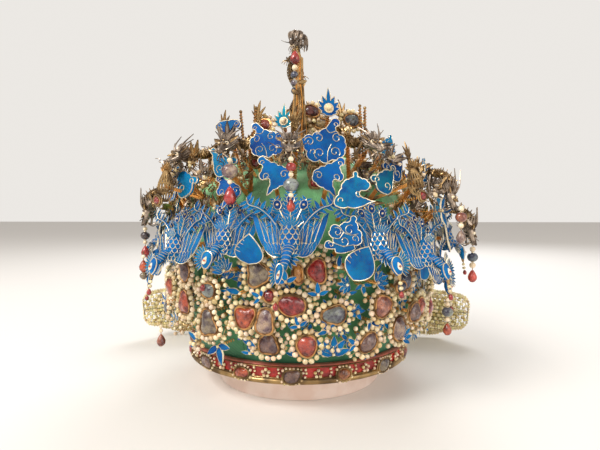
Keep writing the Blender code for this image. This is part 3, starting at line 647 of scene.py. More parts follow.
tree, shader = finish("seed_pearl", Coat_Roughness=0.12, Specular_IOR_Level=0.55)
lustre = mottled(tree, 230)
tint = painted(tree, "tint")["Color"]
pearl = tree.mix(lustre["Mask"], (0.97, 0.85, 0.63), (0.78, 0.6, 0.38))
pearl = dyed(tree, pearl, tint)
pearl = tree.mix(tree.times(lustre["Speck"], 0.35), pearl, (0.35, 0.22, 0.12))
tree.give(shader, Base_Color=dusty(tree, pearl, 0.06),
    Roughness=tree.ramp(lustre["Mask"], 0, 1, 0.17, 0.32),
    Coat_Weight=tree.ramp(lustre["Mask"], 0, 1, 0.7, 0.3))

tree, shader = finish("cap_cloth", Sheen_Weight=0.25, Sheen_Roughness=0.5)
height = tree.node("SeparateXYZ", {0: tree.node("TexCoord").outputs["Object"]}).outputs["Z"]
patch = mottled(tree, 38)
# Painted light and shade: the green is lighter towards the top, as painted light from above, and much darker
# low down by the band, as painted shade among the flowers.
cloth = tree.mix(tree.ramp(height, 0.08, 0.16), (0.085, 0.37, 0.15), (0.205, 0.6, 0.25))
cloth = tree.mix(tree.ramp(height, 0.036, 0.062), (0.032, 0.18, 0.08), cloth)
cloth = tree.mix(tree.times(patch["Mask"], 0.4), cloth, (0.05, 0.16, 0.09))
tree.give(shader, Base_Color=dusty(tree, cloth, 0.3), Roughness=tree.ramp(patch["Mask"], 0, 1, 0.55, 0.8),
    Normal=emboss(tree, use(tree, "Cloth weave", Scale=330)["Height"], 0.6))

for name, bright, dark, scale, low, high in (
        ("red_lacquer", (0.5, 0.03, 0.022), (0.16, 0.014, 0.012), 70, 0.25, 0.5),
        ("terracotta_cord", (0.46, 0.115, 0.07), (0.26, 0.055, 0.035), 90, 0.45, 0.7),
        ("stand_plaster", (0.86, 0.72, 0.64), (0.78, 0.6, 0.51), 26, 0.62, 0.8),
        ("lattice_wire", (0.42, 0.38, 0.23), (0.17, 0.14, 0.08), 120, 0.35, 0.6)):
    tree, shader = finish(name)
    patch = mottled(tree, scale)
    worn = use(tree, "Tarnish", Bright=bright, Dark=dark, Scale=scale * 2, Amount=0.8)
    tree.give(shader, Base_Color=dusty(tree, worn["Colour"], 0.2),
        Roughness=tree.ramp(patch["Mask"], 0, 1, low, high), Normal=emboss(tree, patch["Speck"], 0.2))
print("finishes:", sorted(FINISHES))

# %% [markdown]
# The stand is a plaster drum with softened edges. The cap above it is lacquered cloth on a fine mesh shell,
# and its brow band is two mouldings with a lacquered channel between them. All of them are turned shapes: a
# profile is drawn once and carried round the upright axis, here in millimetres, with a rounded corner as a
# short arc.

# %% Stand, cap and band
# Sixteen gores and sixteen band stones go round, in degrees
STEP_ROUND = 22.5
UPRIGHT = np.array([[1, 0, 0, 0], [0, 0, -1, 0], [0, 1, 0, 0], [0, 0, 0, 1]]) * np.array([MM, MM, MM, 1])


def rounded(corners, radius):
    """Profile (height, radius) whose inner corners are arcs: each is cut back and blended by a quadratic
    curve."""
    corners = np.asarray(corners, float)
    before = corners[1:-1] + radius * unit(corners[:-2] - corners[1:-1])
    after = corners[1:-1] + radius * unit(corners[2:] - corners[1:-1])
    t = linspace(0, 1, 4)[None, :, None]
    bend = (1 - t) ** 2 * before[:, None] + 2 * t * (1 - t) * corners[1:-1, None] + t ** 2 * after[:, None]
    return np.concatenate([corners[:1], bend.reshape(-1, 2), corners[-1:]])


def hoop(profile, sides=192):
    """Closed profile (height, radius) carried round y: x = r sin a, z = r cos a."""
    profile = np.asarray(profile, float)
    angle = circle(sides)
    points = xyz(np.outer(sin(angle), profile[:, 1]), profile[:, 0], np.outer(cos(angle), profile[:, 1]))
    return Surface(points, [grid_faces(sides, len(profile), ring_of_rows=True)])


def round_section(height, radius, thick, tall):
    """Oval moulding section: height + tall sin b, radius + thick cos b."""
    b = circle(12)
    return np.stack([height + tall * sin(b), radius + thick * cos(b)], -1)


for node in ("stand_drum", "stand_plate"):
    low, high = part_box(node)
    radius = (high.x - low.x) / 2 / MM
    corners = [(low.z / MM, 0), (low.z / MM, radius), (high.z / MM, radius), (high.z / MM, 0)]
    Piece(node + "_plaster").add(turned(rounded(corners, 0.8), 128), "stand_plaster",
        at=UPRIGHT).build("stand_plaster", node)

cap_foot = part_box("cap")[0].z
heights = np.concatenate([linspace(cap_foot, CAP_BELLY_HEIGHT, 14),
    CAP_BELLY_HEIGHT + (CAP_TOP - CAP_BELLY_HEIGHT) * sin(linspace(0.08, pi / 2, 22))])
radii = cap_radius(heights)
outer = np.stack([heights, radii], -1)
inner = np.stack([np.minimum(heights, CAP_TOP - CAP_WALL), np.maximum(radii - CAP_WALL, 0)], -1)
inner[radii < CAP_WALL] = CAP_TOP - CAP_WALL, 0
cap_profile = np.concatenate([inner[np.r_[len(inner) - 1, np.flatnonzero(inner[:-1, 1] > 0)[::-1]]], outer])
cap_profile[-1] = CAP_TOP, 0
cap_piece = Piece("cap_shell")
cap_piece.add(turned(cap_profile / MM, 128), "cap_cloth", at=UPRIGHT)

gores = radians(arange(0, 360, STEP_ROUND))
rib_height = linspace(0.045, CAP_TOP - 0.0015, 30)
rib_radius = cap_radius(rib_height) + 0.0004
ribs = xyz(np.outer(sin(gores), rib_radius), -np.outer(cos(gores), rib_radius), rib_height)
cap_piece.add(wires(ribs / MM, 0.7, 5), "cap_cloth", at=MILLIMETRES)
cap_piece.build("cap_lacquer", "cap")

band = Piece("brow_band_mouldings")
low, high = RIM_BOTTOM / MM, BAND_TOP / MM
BAND_INSIDE, BAND_CHANNEL = 97, 99.2
channel = [(low + 1, BAND_INSIDE), (low + 1, BAND_CHANNEL), (high - 1, BAND_CHANNEL), (high - 1, BAND_INSIDE)]
band.add(hoop(channel), "red_lacquer", at=UPRIGHT)
band.add(hoop(round_section(low + 0.9, 99.3, 2.4, 2.3)), "bronze_edge", at=UPRIGHT)
band.add(hoop(round_section(low + 3.5, 99.4, 1.3, 0.5)), GOLD, at=UPRIGHT)
band.add(hoop(round_section(high - 1, 99.6, 2.4, 1)), "terracotta_cord", at=UPRIGHT)
band.add(hoop(round_section(high - 2.7, 99.3, 1.7, 0.7)), "bronze_edge", at=UPRIGHT)
print("band from", round(low, 1), "to", round(high, 1), "mm")

# %% [markdown]
# Stones are set as they are on old court jewels: each rough cabochon keeps its own outline, and a collet of
# gilt strip is bent round it, with a second fine wire outside. The stone is a polar grid. Its radius is an
# oval with a few seeded waves, its height is a dome with low lumps, and the collet follows the same
# outline.

# %% Stones in collets
RANDOM = np.random.default_rng(7)
draw = RANDOM.uniform
PEARL_HUES = np.random.default_rng(11)
STONE_LUMPS = 0.09
SUPERELLIPSE_POWER = 2.3
BAND_FACE = 0.0995
RUBY, SALMON, LILAC = (0.3, 0.008, 0.009), (0.44, 0.068, 0.028), (0.3, 0.2, 0.2)
GREY_BROWN, SLATE, GARNET = (0.17, 0.13, 0.11), (0.14, 0.16, 0.2), (0.2, 0.02, 0.014)
AMBER, NAVY, ROSE, MAUVE = (0.33, 0.1, 0.025), (0.02, 0.035, 0.1), (0.34, 0.11, 0.08), (0.13, 0.065, 0.07)


def stone_outline(half_width, half_height, waves=0.06, corner=0.0, toward=90.0):
    """Closed curve: a superellipse (|x/w|^2.3 + |y/h|^2.3 = 1) whose radius has three seeded waves added, and
    a wave of three that draws it out to a rounded triangle with one corner toward an angle."""
    a = circle(36)
    power = SUPERELLIPSE_POWER
    reach = (np.abs(cos(a) / half_width) ** power + np.abs(sin(a) / half_height) ** power) ** (-1 / power)
    phase = draw(0, 2 * pi, 3)
    reach = reach * (1 + waves * sum(sin((k + 2) * a + phase[k]) / (k + 1) for k in range(3)))
    reach = reach * (1 + corner * cos(3 * (a - radians(toward))) + 0.5 * corner * cos(a - radians(toward)))
    return xyz(reach * cos(a), reach * sin(a), 0)


def cabochon(outline, height, base=0.0):
    """Dome over an outline: at share s of the way out the height is (1 - s^2.6)^0.6, with low seeded
    lumps."""
    share = np.array([1, 1, 0.96, 0.86, 0.7, 0.48, 0.24])
    rise = (1 - share ** 2.6) ** 0.6
    rise[1] = 0.25
    points = outline[None] * share[:, None, None]
    a = np.arctan2(outline[:, 1], outline[:, 0])
    phase = draw(0, 6, 2)
    ripple = sin(2 * a + phase[0]) + 0.6 * sin(3 * a + phase[1])
    points[..., 2] = base + height * (rise[:, None] + STONE_LUMPS * (share * (1 - share))[:, None] * 4
        * ripple)
    points[0, :, 2] = base - 0.3
    count = len(outline)
    points = np.concatenate([points.reshape(-1, 3), [[0, 0, base + height]]])
    here = arange(count)
    tip = np.stack([here, (here + 1) % count, np.full(count, count)], -1) + (len(share) - 1) * count
    return Surface(points, [grid_faces(len(share), count), here[None, ::-1], tip])


def grown(outline, extra):
    """Outline pushed outward: each point moves by extra away from the middle."""
    return outline + extra * unit(outline)


def set_stone(outline, height, tint, base, metal=GOLD):
    """Stone with its collet and an outer wire."""
    lift = np.array([0, 0, 1])
    return [(cabochon(outline, height, base), "set_stone", tint),
        (closed_wire(grown(outline, 0.45) + (base + 0.8) * lift, 0.55, 6), metal),
        (closed_wire(grown(outline, 1.3) + (base - 0.1) * lift, 0.55, 6), GOLD),
        (plate(grown(outline, 0.9), 1.2, base - 0.9), metal)]


def pearl_tints(count):
    """Seeded cream tints, from rosy to greenish, a few of them darker and yellower."""
    shade = draw(0.7, 1.1, count)[:, None] * np.array([1.01, 0.98, 0.88])
    shade[RANDOM.random(count) < 0.18] *= 0.76, 0.7, 0.54
    return shade * (1 + PEARL_HUES.uniform(-1, 1, (count, 1)) * (-0.03, 0.04, -0.1))


def pearls(x, y, z, radius, beads=BEAD):
    """Pearls of the given radii, with their tints, each a little out of round."""
    count = np.broadcast(x, y, z, radius).size
    spots = frames(x, y, z, draw(0, 180, count), size=radius, wide=draw(0.86, 1.12, count))
    return (beads.copies(spots), "seed_pearl", pearl_tints(len(spots)))


def along(outline, spacing):
    """Points at even distances round a closed curve: the cumulative length is shared out and interpolated."""
    ring = np.concatenate([outline, outline[:1]])
    run = np.concatenate([[0], np.cumsum(np.linalg.norm(np.diff(ring, axis=0), axis=1))])
    count = max(int(round(run[-1] / spacing)), 3)
    at = run[-1] * arange(count) / count
    return np.stack([np.interp(at, run, ring[:, k]) for k in range(3)], -1)


print("a stone has", len(cabochon(stone_outline(6, 5), 3).points), "points")

# %% [markdown]
# Round the brow band run sixteen stones in bezels, large and small in turn, with a rosette of five pearls
# between each two. The band is one ring of repeats, so the stones and the pearls take their places from one
# list of angles. Their order of colours follows the front of the crown, and is carried on round the back.

# %% Band stones and pearls
BAND_STONE_COLOURS = (MAUVE, AMBER, GREY_BROWN, GARNET, MAUVE, RUBY, GREY_BROWN, AMBER, MAUVE, GARNET,
    SLATE, AMBER, GREY_BROWN, RUBY, MAUVE, SALMON)
BAND_MIDDLE = (RIM_BOTTOM + BAND_TOP) / 2 + 0.0002
for k, tint in enumerate(BAND_STONE_COLOURS):
    spot = place(STEP_ROUND * k, BAND_MIDDLE - 0.0024, 0.0998)
    wide, tall = ((6.6, 4.6), (5.4, 4))[k % 2]
    outline = stone_outline(wide, tall, 0.1)
    band.add_all(set_stone(outline, 2.6, tint, 0.8, "bronze_edge"), spot)
    halo = along(grown(outline, 2.3), 2.9)
    halo = halo[(np.abs(halo[:, 1]) > 2)]
    band.add(*pearls(halo[:, 0], np.clip(halo[:, 1], -5.6, 5.9), 0.9, draw(1, 1.3, len(halo)), SEED),
        at=spot)
    a = radians(arange(5) * 72 + 90)
    rosette = place(STEP_ROUND * (k + 0.5), BAND_MIDDLE - 0.0006, BAND_FACE)
    band.add(*pearls(2.5 * cos(a), 2.5 * sin(a), 1, 1.35), at=rosette)
    band.add(GRAIN.copies(frames(0, 0, 1.0, size=1.1)), "set_stone", GARNET, rosette)
    for shift in (-0.24, 0.24):
        pair = place(STEP_ROUND * (k + 0.5 + shift), BAND_MIDDLE, BAND_FACE)
        band.add(*pearls([0, 0.6, -0.4], [2.6, -0.1, -2.9], 0.8, [1.15, 1, 1.2], SEED), at=pair)
band.build("band_red", "brow_band")

# %% [markdown]
# The lower half of the crown is a bank of flowers: a stone in the middle, thirteen to eighteen pearls
# threaded on a wire round it, and small feather leaves behind. Here each flower is its row in a list,
# because on the real crown no two stones are alike. The pearls share out the length of the ring evenly.

# %% Pearl flowers
FLOWERS = [
    ("flower_front_middle", [(0.5, 0.0863, 0.122, 9.2, 6.2, 5, 0, RUBY, 0.06, 20)]),
    ("flower_front_upper_left", [(-9.4, 0.1078, 0.127, 7.2, 7.4, 4.8, 0, GREY_BROWN, 0.14, 120)]),
    ("flower_front_upper_right", [(8.7, 0.1094, 0.121, 5.8, 7.6, 4.8, 0, RUBY, 0.12, 60)]),
    ("flower_front_left", [(-15, 0.0776, 0.121, 7, 7, 5, 0, SALMON, 0.16, 270)]),
    ("flower_front_right", [(14.8, 0.0791, 0.121, 8.2, 5.4, 5, 0, SLATE, 0.1, 180)]),
    ("flower_front_lower_right", [(5.6, 0.057, 0.117, 6, 7.2, 4.6, 0, (0.3, 0.03, 0.02), 0.03, 40)]),
    ("flower_front_lower_left", [(-7.4, 0.057, 0.117, 6.2, 6.4, 4.6, 0, MAUVE, 0.13, 90)]),
    ("flower_right_pink", [(32.5, 0.0824, 0.121, 6.6, 7.6, 5, 0, ROSE, 0.08, 0)]),
    ("flower_left_oval", [(-42, 0.0803, 0.122, 6.8, 8, 4.6, 8, (0.34, 0.045, 0.022), 0.12, 90)]),
    ("flowers_left", [(-29.6, 0.0682, 0.121, 6.8, 9.2, 3.6, 12, GREY_BROWN, 0.17, 90),
        (-29.6, 0.093, 0.121, 5.8, 5.2, 4.4, 0, SLATE),
        (-42.4, 0.1055, 0.121, 6.2, 7.4, 4.4, 10, MAUVE, 0.1, 250),
        (-54.5, 0.09, 0.122, 6.8, 6.5, 4.6, 0, SALMON)]),
    ("flowers_right", [(28, 0.056, 0.117, 7.4, 5.4, 4.6, 30, MAUVE),
        (42, 0.062, 0.118, 6.8, 8.2, 4, 0, LILAC), (54, 0.076, 0.121, 6, 6.8, 4.6, 0, SALMON),
        (43.5, 0.099, 0.121, 6.5, 7, 4.4, 0, NAVY)]),
]
LOWER_UPPER = ((0.07, 0.12), (0.088, 0.121))
for side_name, sign, first, tints in (
        ("left", -1, 66, (SLATE, SALMON, LILAC, RUBY)), ("right", 1, 68, (RUBY, SLATE, AMBER, GARNET))):
    rows = [(sign * azimuth, *LOWER_UPPER[k % 2], 7, 7, 4.8, 0, tints[k])
        for k, azimuth in enumerate((first, 82, 98, 114))]
    FLOWERS.append(("flowers_side_" + side_name, rows))
FLOWERS.append(("flowers_back", [(azimuth, height, 0.119 if height < 0.08 else 0.12, 7, 7, 4.8, 0, tint)
    for azimuth, height, tint in ((132, 0.074, SALMON), (150, 0.09, RUBY), (168, 0.072, SLATE),
    (188, 0.09, GARNET), (207, 0.073, LILAC), (226, 0.09, AMBER))]))


# Coils of large and small ornaments: radius and wire, and the pitch of a small one
BIG_COIL, SMALL_COIL = (1.7, 0.45), (1.1, 0.36, 2.2)


def spring(piece, spot, foot, radius=1.35, wire=0.42, pitch=1.25, off=(0, 0, 0)):
    """Coil of gilt wire from a frame's origin, or off it, to just over the cap at a foot (azimuth,
    height)."""
    path = coil(carried(spot, [off])[0] / MM, cap_point(*foot, SPRING_GAP) / MM, radius, pitch)
    piece.add(wires(path, wire, 4 if wire > 0.4 else 3), "spring_gilt", at=MILLIMETRES)


RING_PEARL_SPACING, LOOSE_PEARL_SPACING = 4.35, 4.3
CLEAR_OF_BAND = 11


def flower(piece, azimuth, height, radius, half_width, half_height, ring, roll, tint, corner=0.05,
        toward=60):
    """Back leaves, gilt plate, ring of pearls on a wire, loose outer pearls, stone in its collet, and the
    spring."""
    spot = place(azimuth, height, radius, roll=roll)
    outline = stone_outline(half_width, half_height, 0.05, corner, toward)
    beads_line = grown(outline, 1.6 + ring / 2)
    middles = along(beads_line, RING_PEARL_SPACING)
    leaves = arange(0, 360, 40) + draw(0, 40)
    reach = max(half_width, half_height) + ring * 0.4
    x, y = cos(radians(leaves)) * reach * 0.8, sin(radians(leaves)) * reach * 0.8
    piece.add(leaf(5, 0.24, 0.05, arch=0.25).copies(frames(x, y, -0.8, turn=leaves - 90, size=ring * 1.15)),
        FEATHER, at=spot)
    piece.add(plate(grown(outline, 2.2), 0.8, -0.9), GOLD, at=spot)
    piece.add(closed_wire(beads_line, 0.5, 5), WIRE, at=spot)
    piece.add(*pearls(*middles[:, :2].T, 1.1, draw(1.85, 2.25, len(middles))), at=spot)
    loose = along(grown(outline, 5.6 + ring / 2), LOOSE_PEARL_SPACING)
    loose = loose[RANDOM.random(len(loose)) < 0.72]
    loose[:, :2] += draw(-0.9, 0.9, (len(loose), 2))
    loose = loose[height / MM + loose[:, 1] > BAND_TOP / MM + CLEAR_OF_BAND]
    depth = draw(-3.4, -1, len(loose))
    piece.add(*pearls(*loose[:, :2].T, depth, draw(1.35, 2, len(loose))), at=spot)
    stalks = np.stack([loose * [0.62, 0.62, 0] - [0, 0, 1.4], loose * [0.85, 0.85, 0] - [0, 0, 2.4],
        np.c_[loose[:, :2], depth]], 1)
    piece.add(wires(stalks, 0.28, 4), GOLD, at=spot)
    piece.add_all(set_stone(outline, 3.4, tint, 1.2, "collet_gilt"), spot)
    spring(piece, spot, (azimuth, height + 0.004))


for name, rows in FLOWERS:
    piece = Piece(name + "_pearled")
    for row in rows:
        flower(piece, *row)
    piece.build("set_stone", name)

# %% [markdown]
# The clouds are cut from sheet, backed with gilt, and inlaid with feather between wires. Their lobes, the
# curls inside the lobes and the small knobs at their tips are the mark of the style. A lobe is a circular
# arc with a bulge, so an outline is a short list of corners, and the same curve serves the plate and the
# wire on its edge.

# %% Cloud plates
CLOUD_OUTLINES = {
    "peak": [(-13.4, -6.4, 0.5), (-11.5, -9.6, 0.25), (-5, -9.9, 0.2), (3, -9.8, 0.1), (7, -8.4, -0.1),
        (13.5, -6.4, -0.15), (7.2, -4.6, -0.2), (4, -3.4, -0.9), (5.6, 0.2, 0.3), (9.6, 2, 0.6),
        (8.8, 5.8, 0.4), (5.4, 7.4, 0.2), (2.6, 8.6, -0.2), (2.4, 9.6, 1.9), (-0.1, 9.6, -0.2),
        (-0.6, 8.4, 0.2), (-3.4, 7, 0.35), (-6.8, 5.2, 0.35), (-8.4, 1.4, 0.25), (-10.6, -2.6, 0.2)],
    "tall": [(-13, -5, 0.45), (-10.5, -11.5, 0.4), (-4.5, -11, 0.3), (0.3, -13.2, 0), (4.5, -10.6, 0.35),
        (9.8, -9.2, 0.5), (13.2, -3.4, 0.5), (13.8, 1.6, 0.6), (9.6, 6.8, 0.35), (7.6, 9.6, 0.1),
        (7.4, 11.6, -0.5), (9.6, 13, 1.3), (4.4, 16.6, 0), (0.6, 11.4, 0.2), (-4.4, 8.2, 0.45),
        (-9.2, 5.8, 0.5), (-14.8, 4.4, 0.8), (-15.2, -1.4, 0.4)],
    "drift": [(-10.4, 1.6, 0.5), (-8.6, -3.2, 0.3), (-4, -6.2, 0.2), (0.2, -8.6, 0.1), (4.4, -12.4, 0),
        (3.4, -7, -0.3), (2.6, -3.4, -0.9), (5.8, -1.6, 0.4), (8.8, -1.2, 0.5), (8.4, 3.4, 0.1),
        (7.4, 6.6, -0.4), (9.6, 8.4, 1.4), (5.6, 11.8, 0.1), (2, 9.4, 0.35), (-2.6, 7.4, 0.35),
        (-6.6, 6, 0.4)],
    "sail": [(-5, -6.2, 0.2), (-1.4, -8.8, 0.1), (3.6, -7.2, 0.35), (6.8, -2.6, -0.4), (7.6, -0.6, 1.3),
        (8.6, 3, 0.1), (5.2, 3, 0.35), (1.6, 5.2, 0.35), (-2.2, 6.8, 0.3), (-4.8, 6.4, -0.3),
        (-5.6, 7.6, 1.6), (-9, 6.8, -0.3), (-7.4, 3, 0.05), (-6.2, -1.8, 0.15)],
    "crest": [(-1, -7.6, 0.1), (3.2, -3.8, 0.25), (5.2, -0.6, -0.9), (6.8, 0.6, 1), (9.4, 4.4, 0.3),
        (6, 6, 0.15), (0, 6.2, 0.1), (-6.4, 6.2, 0.3), (-9.6, 4.8, 1), (-8, 0.8, -0.9), (-5, 0.2, 0.2),
        (-3.4, -3.4, 0.15)],
    "bloom": [(-13.2, -8.6, 0.1), (-6.4, -9.2, 0.3), (-5.6, -12, 0.15), (3, -11.6, 0.1), (8.6, -9.6, 0),
        (7.6, -6.6, 0.3), (11.8, -6.2, 0.5), (13.4, -1.6, 0.5), (11.2, 4.2, 0.2), (11, 7.6, 0.4),
        (9.6, 9.6, -0.3), (10.2, 11, 1.5), (6, 11.4, -0.3), (3, 9.6, 0.35), (-0.6, 8.4, 0.4),
        (-2.4, 6.6, 0.1), (-5, 7.8, 0.6), (-9.4, 4.2, 0.6), (-9.6, 0.2, 0.3), (-7.4, -1.4, 0.5),
        (-6.4, -5.4, -0.1), (-10, -3.8, 0.5), (-13.8, -5.4, 0.5)],
}
# The curls inside a plate: middle x and y, radius, starting angle, sweep
CLOUD_CURLS = {
    "peak": [(2.4, -1.6, 2.4, -40, -300), (-9, -6, 2.2, 200, -260)],
    "tall": [(-11.2, 1.6, 3.6, 170, -400), (-4.6, 4.2, 3.4, 130, -380), (8.2, 4.6, 3.6, 60, 400),
        (6.4, -5.2, 4, 320, 400), (-4.4, -6.4, 4.2, 240, -400), (7.6, 14.2, 2, 300, 330),
        (-8.6, -5.8, 2.4, 200, -330)],
    "drift": [(-6.6, 1.6, 2.8, 150, -380), (4.8, 0.6, 2.8, 250, 380), (7.6, 9.6, 1.9, 300, 330)],
    "sail": [(5.6, 0.6, 2.2, 300, 340), (-6.6, 7.4, 1.4, 200, -300), (-1.4, -3.4, 2.8, 250, -360)],
    "crest": [(-7.4, 3.2, 2, 200, -360), (6.8, 3.2, 2, 340, 360)],
    "bloom": [(-9.4, -6.4, 2.2, 150, -330), (0.4, -4, 4, 250, 360), (-4.4, 2.6, 3.6, 120, -340),
        (5, 3.8, 4.2, 60, 330), (8.6, -2.4, 3, 330, 330)],
}
# Long lines that part the lobes of a plate
CLOUD_SEAMS = {
    "bloom": [[(-6.4, -5.4), (0, -7.4), (7.6, -6.6)], [(-2.4, 6.6), (0.4, 2.6), (5.4, 0.4), (11.2, 1.2)],
        [(-7.4, -1.4), (-3, -1.8), (0.4, 2.6)]],
    "tall": [[(0.6, 11.4), (3.2, 8.4), (7.6, 9.6)], [(1, -12.4), (1.6, -5), (4, 0)]],
}


def cloud_parts(style, steps=8):
    """Plate, gilt back, wire edge, curls and seams, in the plate's own millimetres."""
    outline = arcs(CLOUD_OUTLINES[style], steps)
    parts = [(plate(outline, 1.5), FEATHER), (plate(outline * [0.985, 0.985, 1], 0.5, -1), GOLD),
        (closed_wire(outline + [0, 0, 0.6], 0.36, 6), WIRE)]
    curls = [curl(x, y, r, start, sweep, 0.85, 18) for x, y, r, start, sweep in CLOUD_CURLS[style]]
    parts.append((wires(curls, 0.27, 4), WIRE))
    for knots in CLOUD_SEAMS.get(style, []):
        seam = smooth(np.c_[np.asarray(knots, float), np.full(len(knots), 0.85)], 12)
        parts.append((wires(seam, 0.3, 4), WIRE))
    return parts


def in_hue(parts, hue):
    """The same parts with the feather in a hue of its own, because no two plates come from the same bird."""
    return [(surface, kind, hue) if kind == FEATHER else (surface, kind) for surface, kind, *_ in parts]


CLOUD_PARTS = {style: cloud_parts(style) for style in CLOUD_OUTLINES}
COBALT, AZURE, SEA, MIDDLE = (1, 0.72, 0.96), (1, 1.34, 1.15), (1, 1.02, 0.76), (1, 0.9, 1.02)
CLOUDS = [
    ("cloud_front_left", [("tall", -8.8, 0.199, 0.112, -0.84, COBALT, 10),
        ("drift", -5, 0.174, 0.122, -1.05, MIDDLE)]),
    ("cloud_front_right", [("tall", 12.5, 0.1975, 0.112, 1.02, COBALT),
        ("drift", 12.2, 0.173, 0.125, 1.05, COBALT)]),
    ("cloud_peak", [("peak", 18.5, 0.164, 0.136, 1.08, AZURE)]),
    ("cloud_bloom", [("bloom", 15.4, 0.1345, 0.135, 0.92, MIDDLE)]),
    ("cloud_bank_left", [("crest", -27.5, 0.2115, 0.104, 1.12, MIDDLE),
        ("sail", -21.8, 0.184, 0.126, 1.12, AZURE), ("drift", -19.6, 0.1635, 0.127, -0.92, COBALT)]),
    ("cloud_bank_right", [("bloom", 41, 0.2, 0.108, 0.66, AZURE),
        ("sail", 38.5, 0.182, 0.12, -1.15, COBALT), ("sail", 31, 0.172, 0.127, -1.12, SEA)]),
    ("cloud_side_left", [("sail", -34, 0.171, 0.134, 1.25, AZURE),
        ("tall", -56, 0.17, 0.12, -0.85, MIDDLE)]),
    ("cloud_side_right", [("peak", 58, 0.154, 0.133, 0.9, SEA), ("tall", 62, 0.18, 0.119, 0.8, AZURE)]),
    ("cloud_bank_back", [("tall", 150, 0.186, 0.114, 1, COBALT), ("bloom", 166, 0.16, 0.124, 0.9, MIDDLE),
        ("bloom", 194, 0.16, 0.124, -0.9, AZURE), ("tall", 210, 0.186, 0.114, -1, COBALT)]),
]
for name, rows in CLOUDS:
    piece = Piece(name + "_inlaid")
    for style, azimuth, height, radius, scale, hue, *roll in rows:
        spot = place(azimuth, height, radius, lean=8, roll=sum(roll), scale=scale)
        piece.add_all(in_hue(CLOUD_PARTS[style], hue), spot)
        spring(piece, spot, (azimuth, min(height - 0.02, 0.175)), off=(0, 0, -1.4))
    piece.build("kingfisher_blue", name)


def filling_cloud(piece, style, hue, azimuth, height, shift, out, lean, scale):
    """Simpler cloud within 3 degrees and a shift of its place, out from the cap's wall, on its own spring."""
    level, az = height + draw(-shift, shift), azimuth + draw(-3, 3)
    spot = place(az, level, cap_radius(level) + out, lean, roll=draw(-20, 20), scale=scale)
    piece.add_all(in_hue(cloud_parts(style, 3), hue), spot)
    spring(piece, spot, (az, level), *SMALL_COIL, off=(0, 0, -1.4))


piece = Piece("clouds_scattered")
for k, azimuth in enumerate(arange(74, 287, 17.5)):
    for row, height in enumerate((0.132, 0.16)):
        style = ("sail", "crest", "drift", "peak")[(k + 2 * row) % 4]
        hue = (COBALT, AZURE, MIDDLE, SEA)[(k + row) % 4]
        filling_cloud(piece, style, hue, azimuth + 8 * row, height, 0.005, 0.014, 10, 0.95 * (-1) ** k)
piece.build("kingfisher_blue")

# %% [markdown]
# Two large leaves stand out between the front phoenixes and two smaller ones at the sides, each a pointed
# plate with short raised veins at the left edge. A few big stones are set alone among the flowers, in plain
# collets, and stand prouder than the rings of pearls.

# %% Pointed leaves and single stones
def pointed_leaf(length, half_width, belly):
    """Outline x = +- half width sin(pi s^belly)^0.9 at share s of the length, with four short veins that run
    inward and down from the left edge."""
    s = linspace(0, 1, 14)
    x = half_width * sin(pi * s ** belly) ** 0.9
    x[[0, -1]] = 0
    edge = np.concatenate([xyz(x, s * length, 0), xyz(-x, s * length, 0)[-2:0:-1]])
    v = np.array([0.42, 0.55, 0.68, 0.8])
    out = half_width * sin(pi * v ** belly) ** 0.9
    veins = np.stack([xyz(-0.97 * out, v * length, 0.85),
        xyz(-out * (0.62, 0.76, 0.6, 0.72), (v - 0.05) * length, 0.85)], 1)
    return inlaid(edge, (1, 1.05, 1.05)) + [(wires(veins, 0.22, 4), WIRE)]


piece = Piece("pointed_leaves")
for azimuth, height, radius, lean, roll, length, half_width, belly in (
        (-11.6, 0.1157, 0.1325, -22, -9, 22.5, 9.8, 0.66), (17.2, 0.106, 0.142, 4, -28, 24.5, 10.6, 0.8),
        (48, 0.1, 0.129, 4, -50, 22, 7.5, 0.8), (-50, 0.115, 0.129, 4, 40, 22, 7.5, 0.8)):
    spot = place(azimuth, height, radius, lean=lean, roll=roll)
    piece.add_all(pointed_leaf(length, half_width, belly), spot)
    spring(piece, spot, (azimuth, height + 0.006), off=(0, length * 0.4, -1))
piece.build("kingfisher_blue")

piece = Piece("single_stones")
for azimuth, height, radius, half_width, half_height, tint, corner, toward in (
        (-7.6, 0.0746, 0.1255, 5.6, 8, LILAC, 0.1, 90), (-6.5, 0.0935, 0.1245, 3.8, 3.8, RUBY, 0.1, 30),
        (38, 0.096, 0.127, 4.4, 3.6, NAVY, 0.05, 0),
        (2.6, 0.108, 0.124, 3, 6, (0.42, 0.17, 0.04), 0.02, 90),
        (44.5, 0.076, 0.1285, 6, 7, MAUVE, 0.14, 200)):
    spot = place(azimuth, height, radius)
    piece.add_all(set_stone(stone_outline(half_width, half_height, 0.06, corner, toward), 3.4, tint, 1,
        "collet_gilt"), spot)
    spring(piece, spot, (azimuth, height), 1.1, 0.3)
piece.build("set_stone")

# %% [markdown]
# High on the right a flaming pearl rises between the clouds: a cream pearl in a ringed disc, with feather
# flames all round and one long flame on top. The flames are one outline of arcs, with eleven tips and a
# valley between each two.

# %% Flaming pearl
def fan_of(turns, sizes, x=0.0, y=0.0, z=0.0, off=0.0, tip=0.0):
    """Frames fanned round a point: each stands off along its own direction (-sin turn, cos turn)."""
    turns = np.asarray(turns, float)
    a = radians(turns)
    return frames(x - off * sin(a), y + off * cos(a), z, turns, tip, sizes)


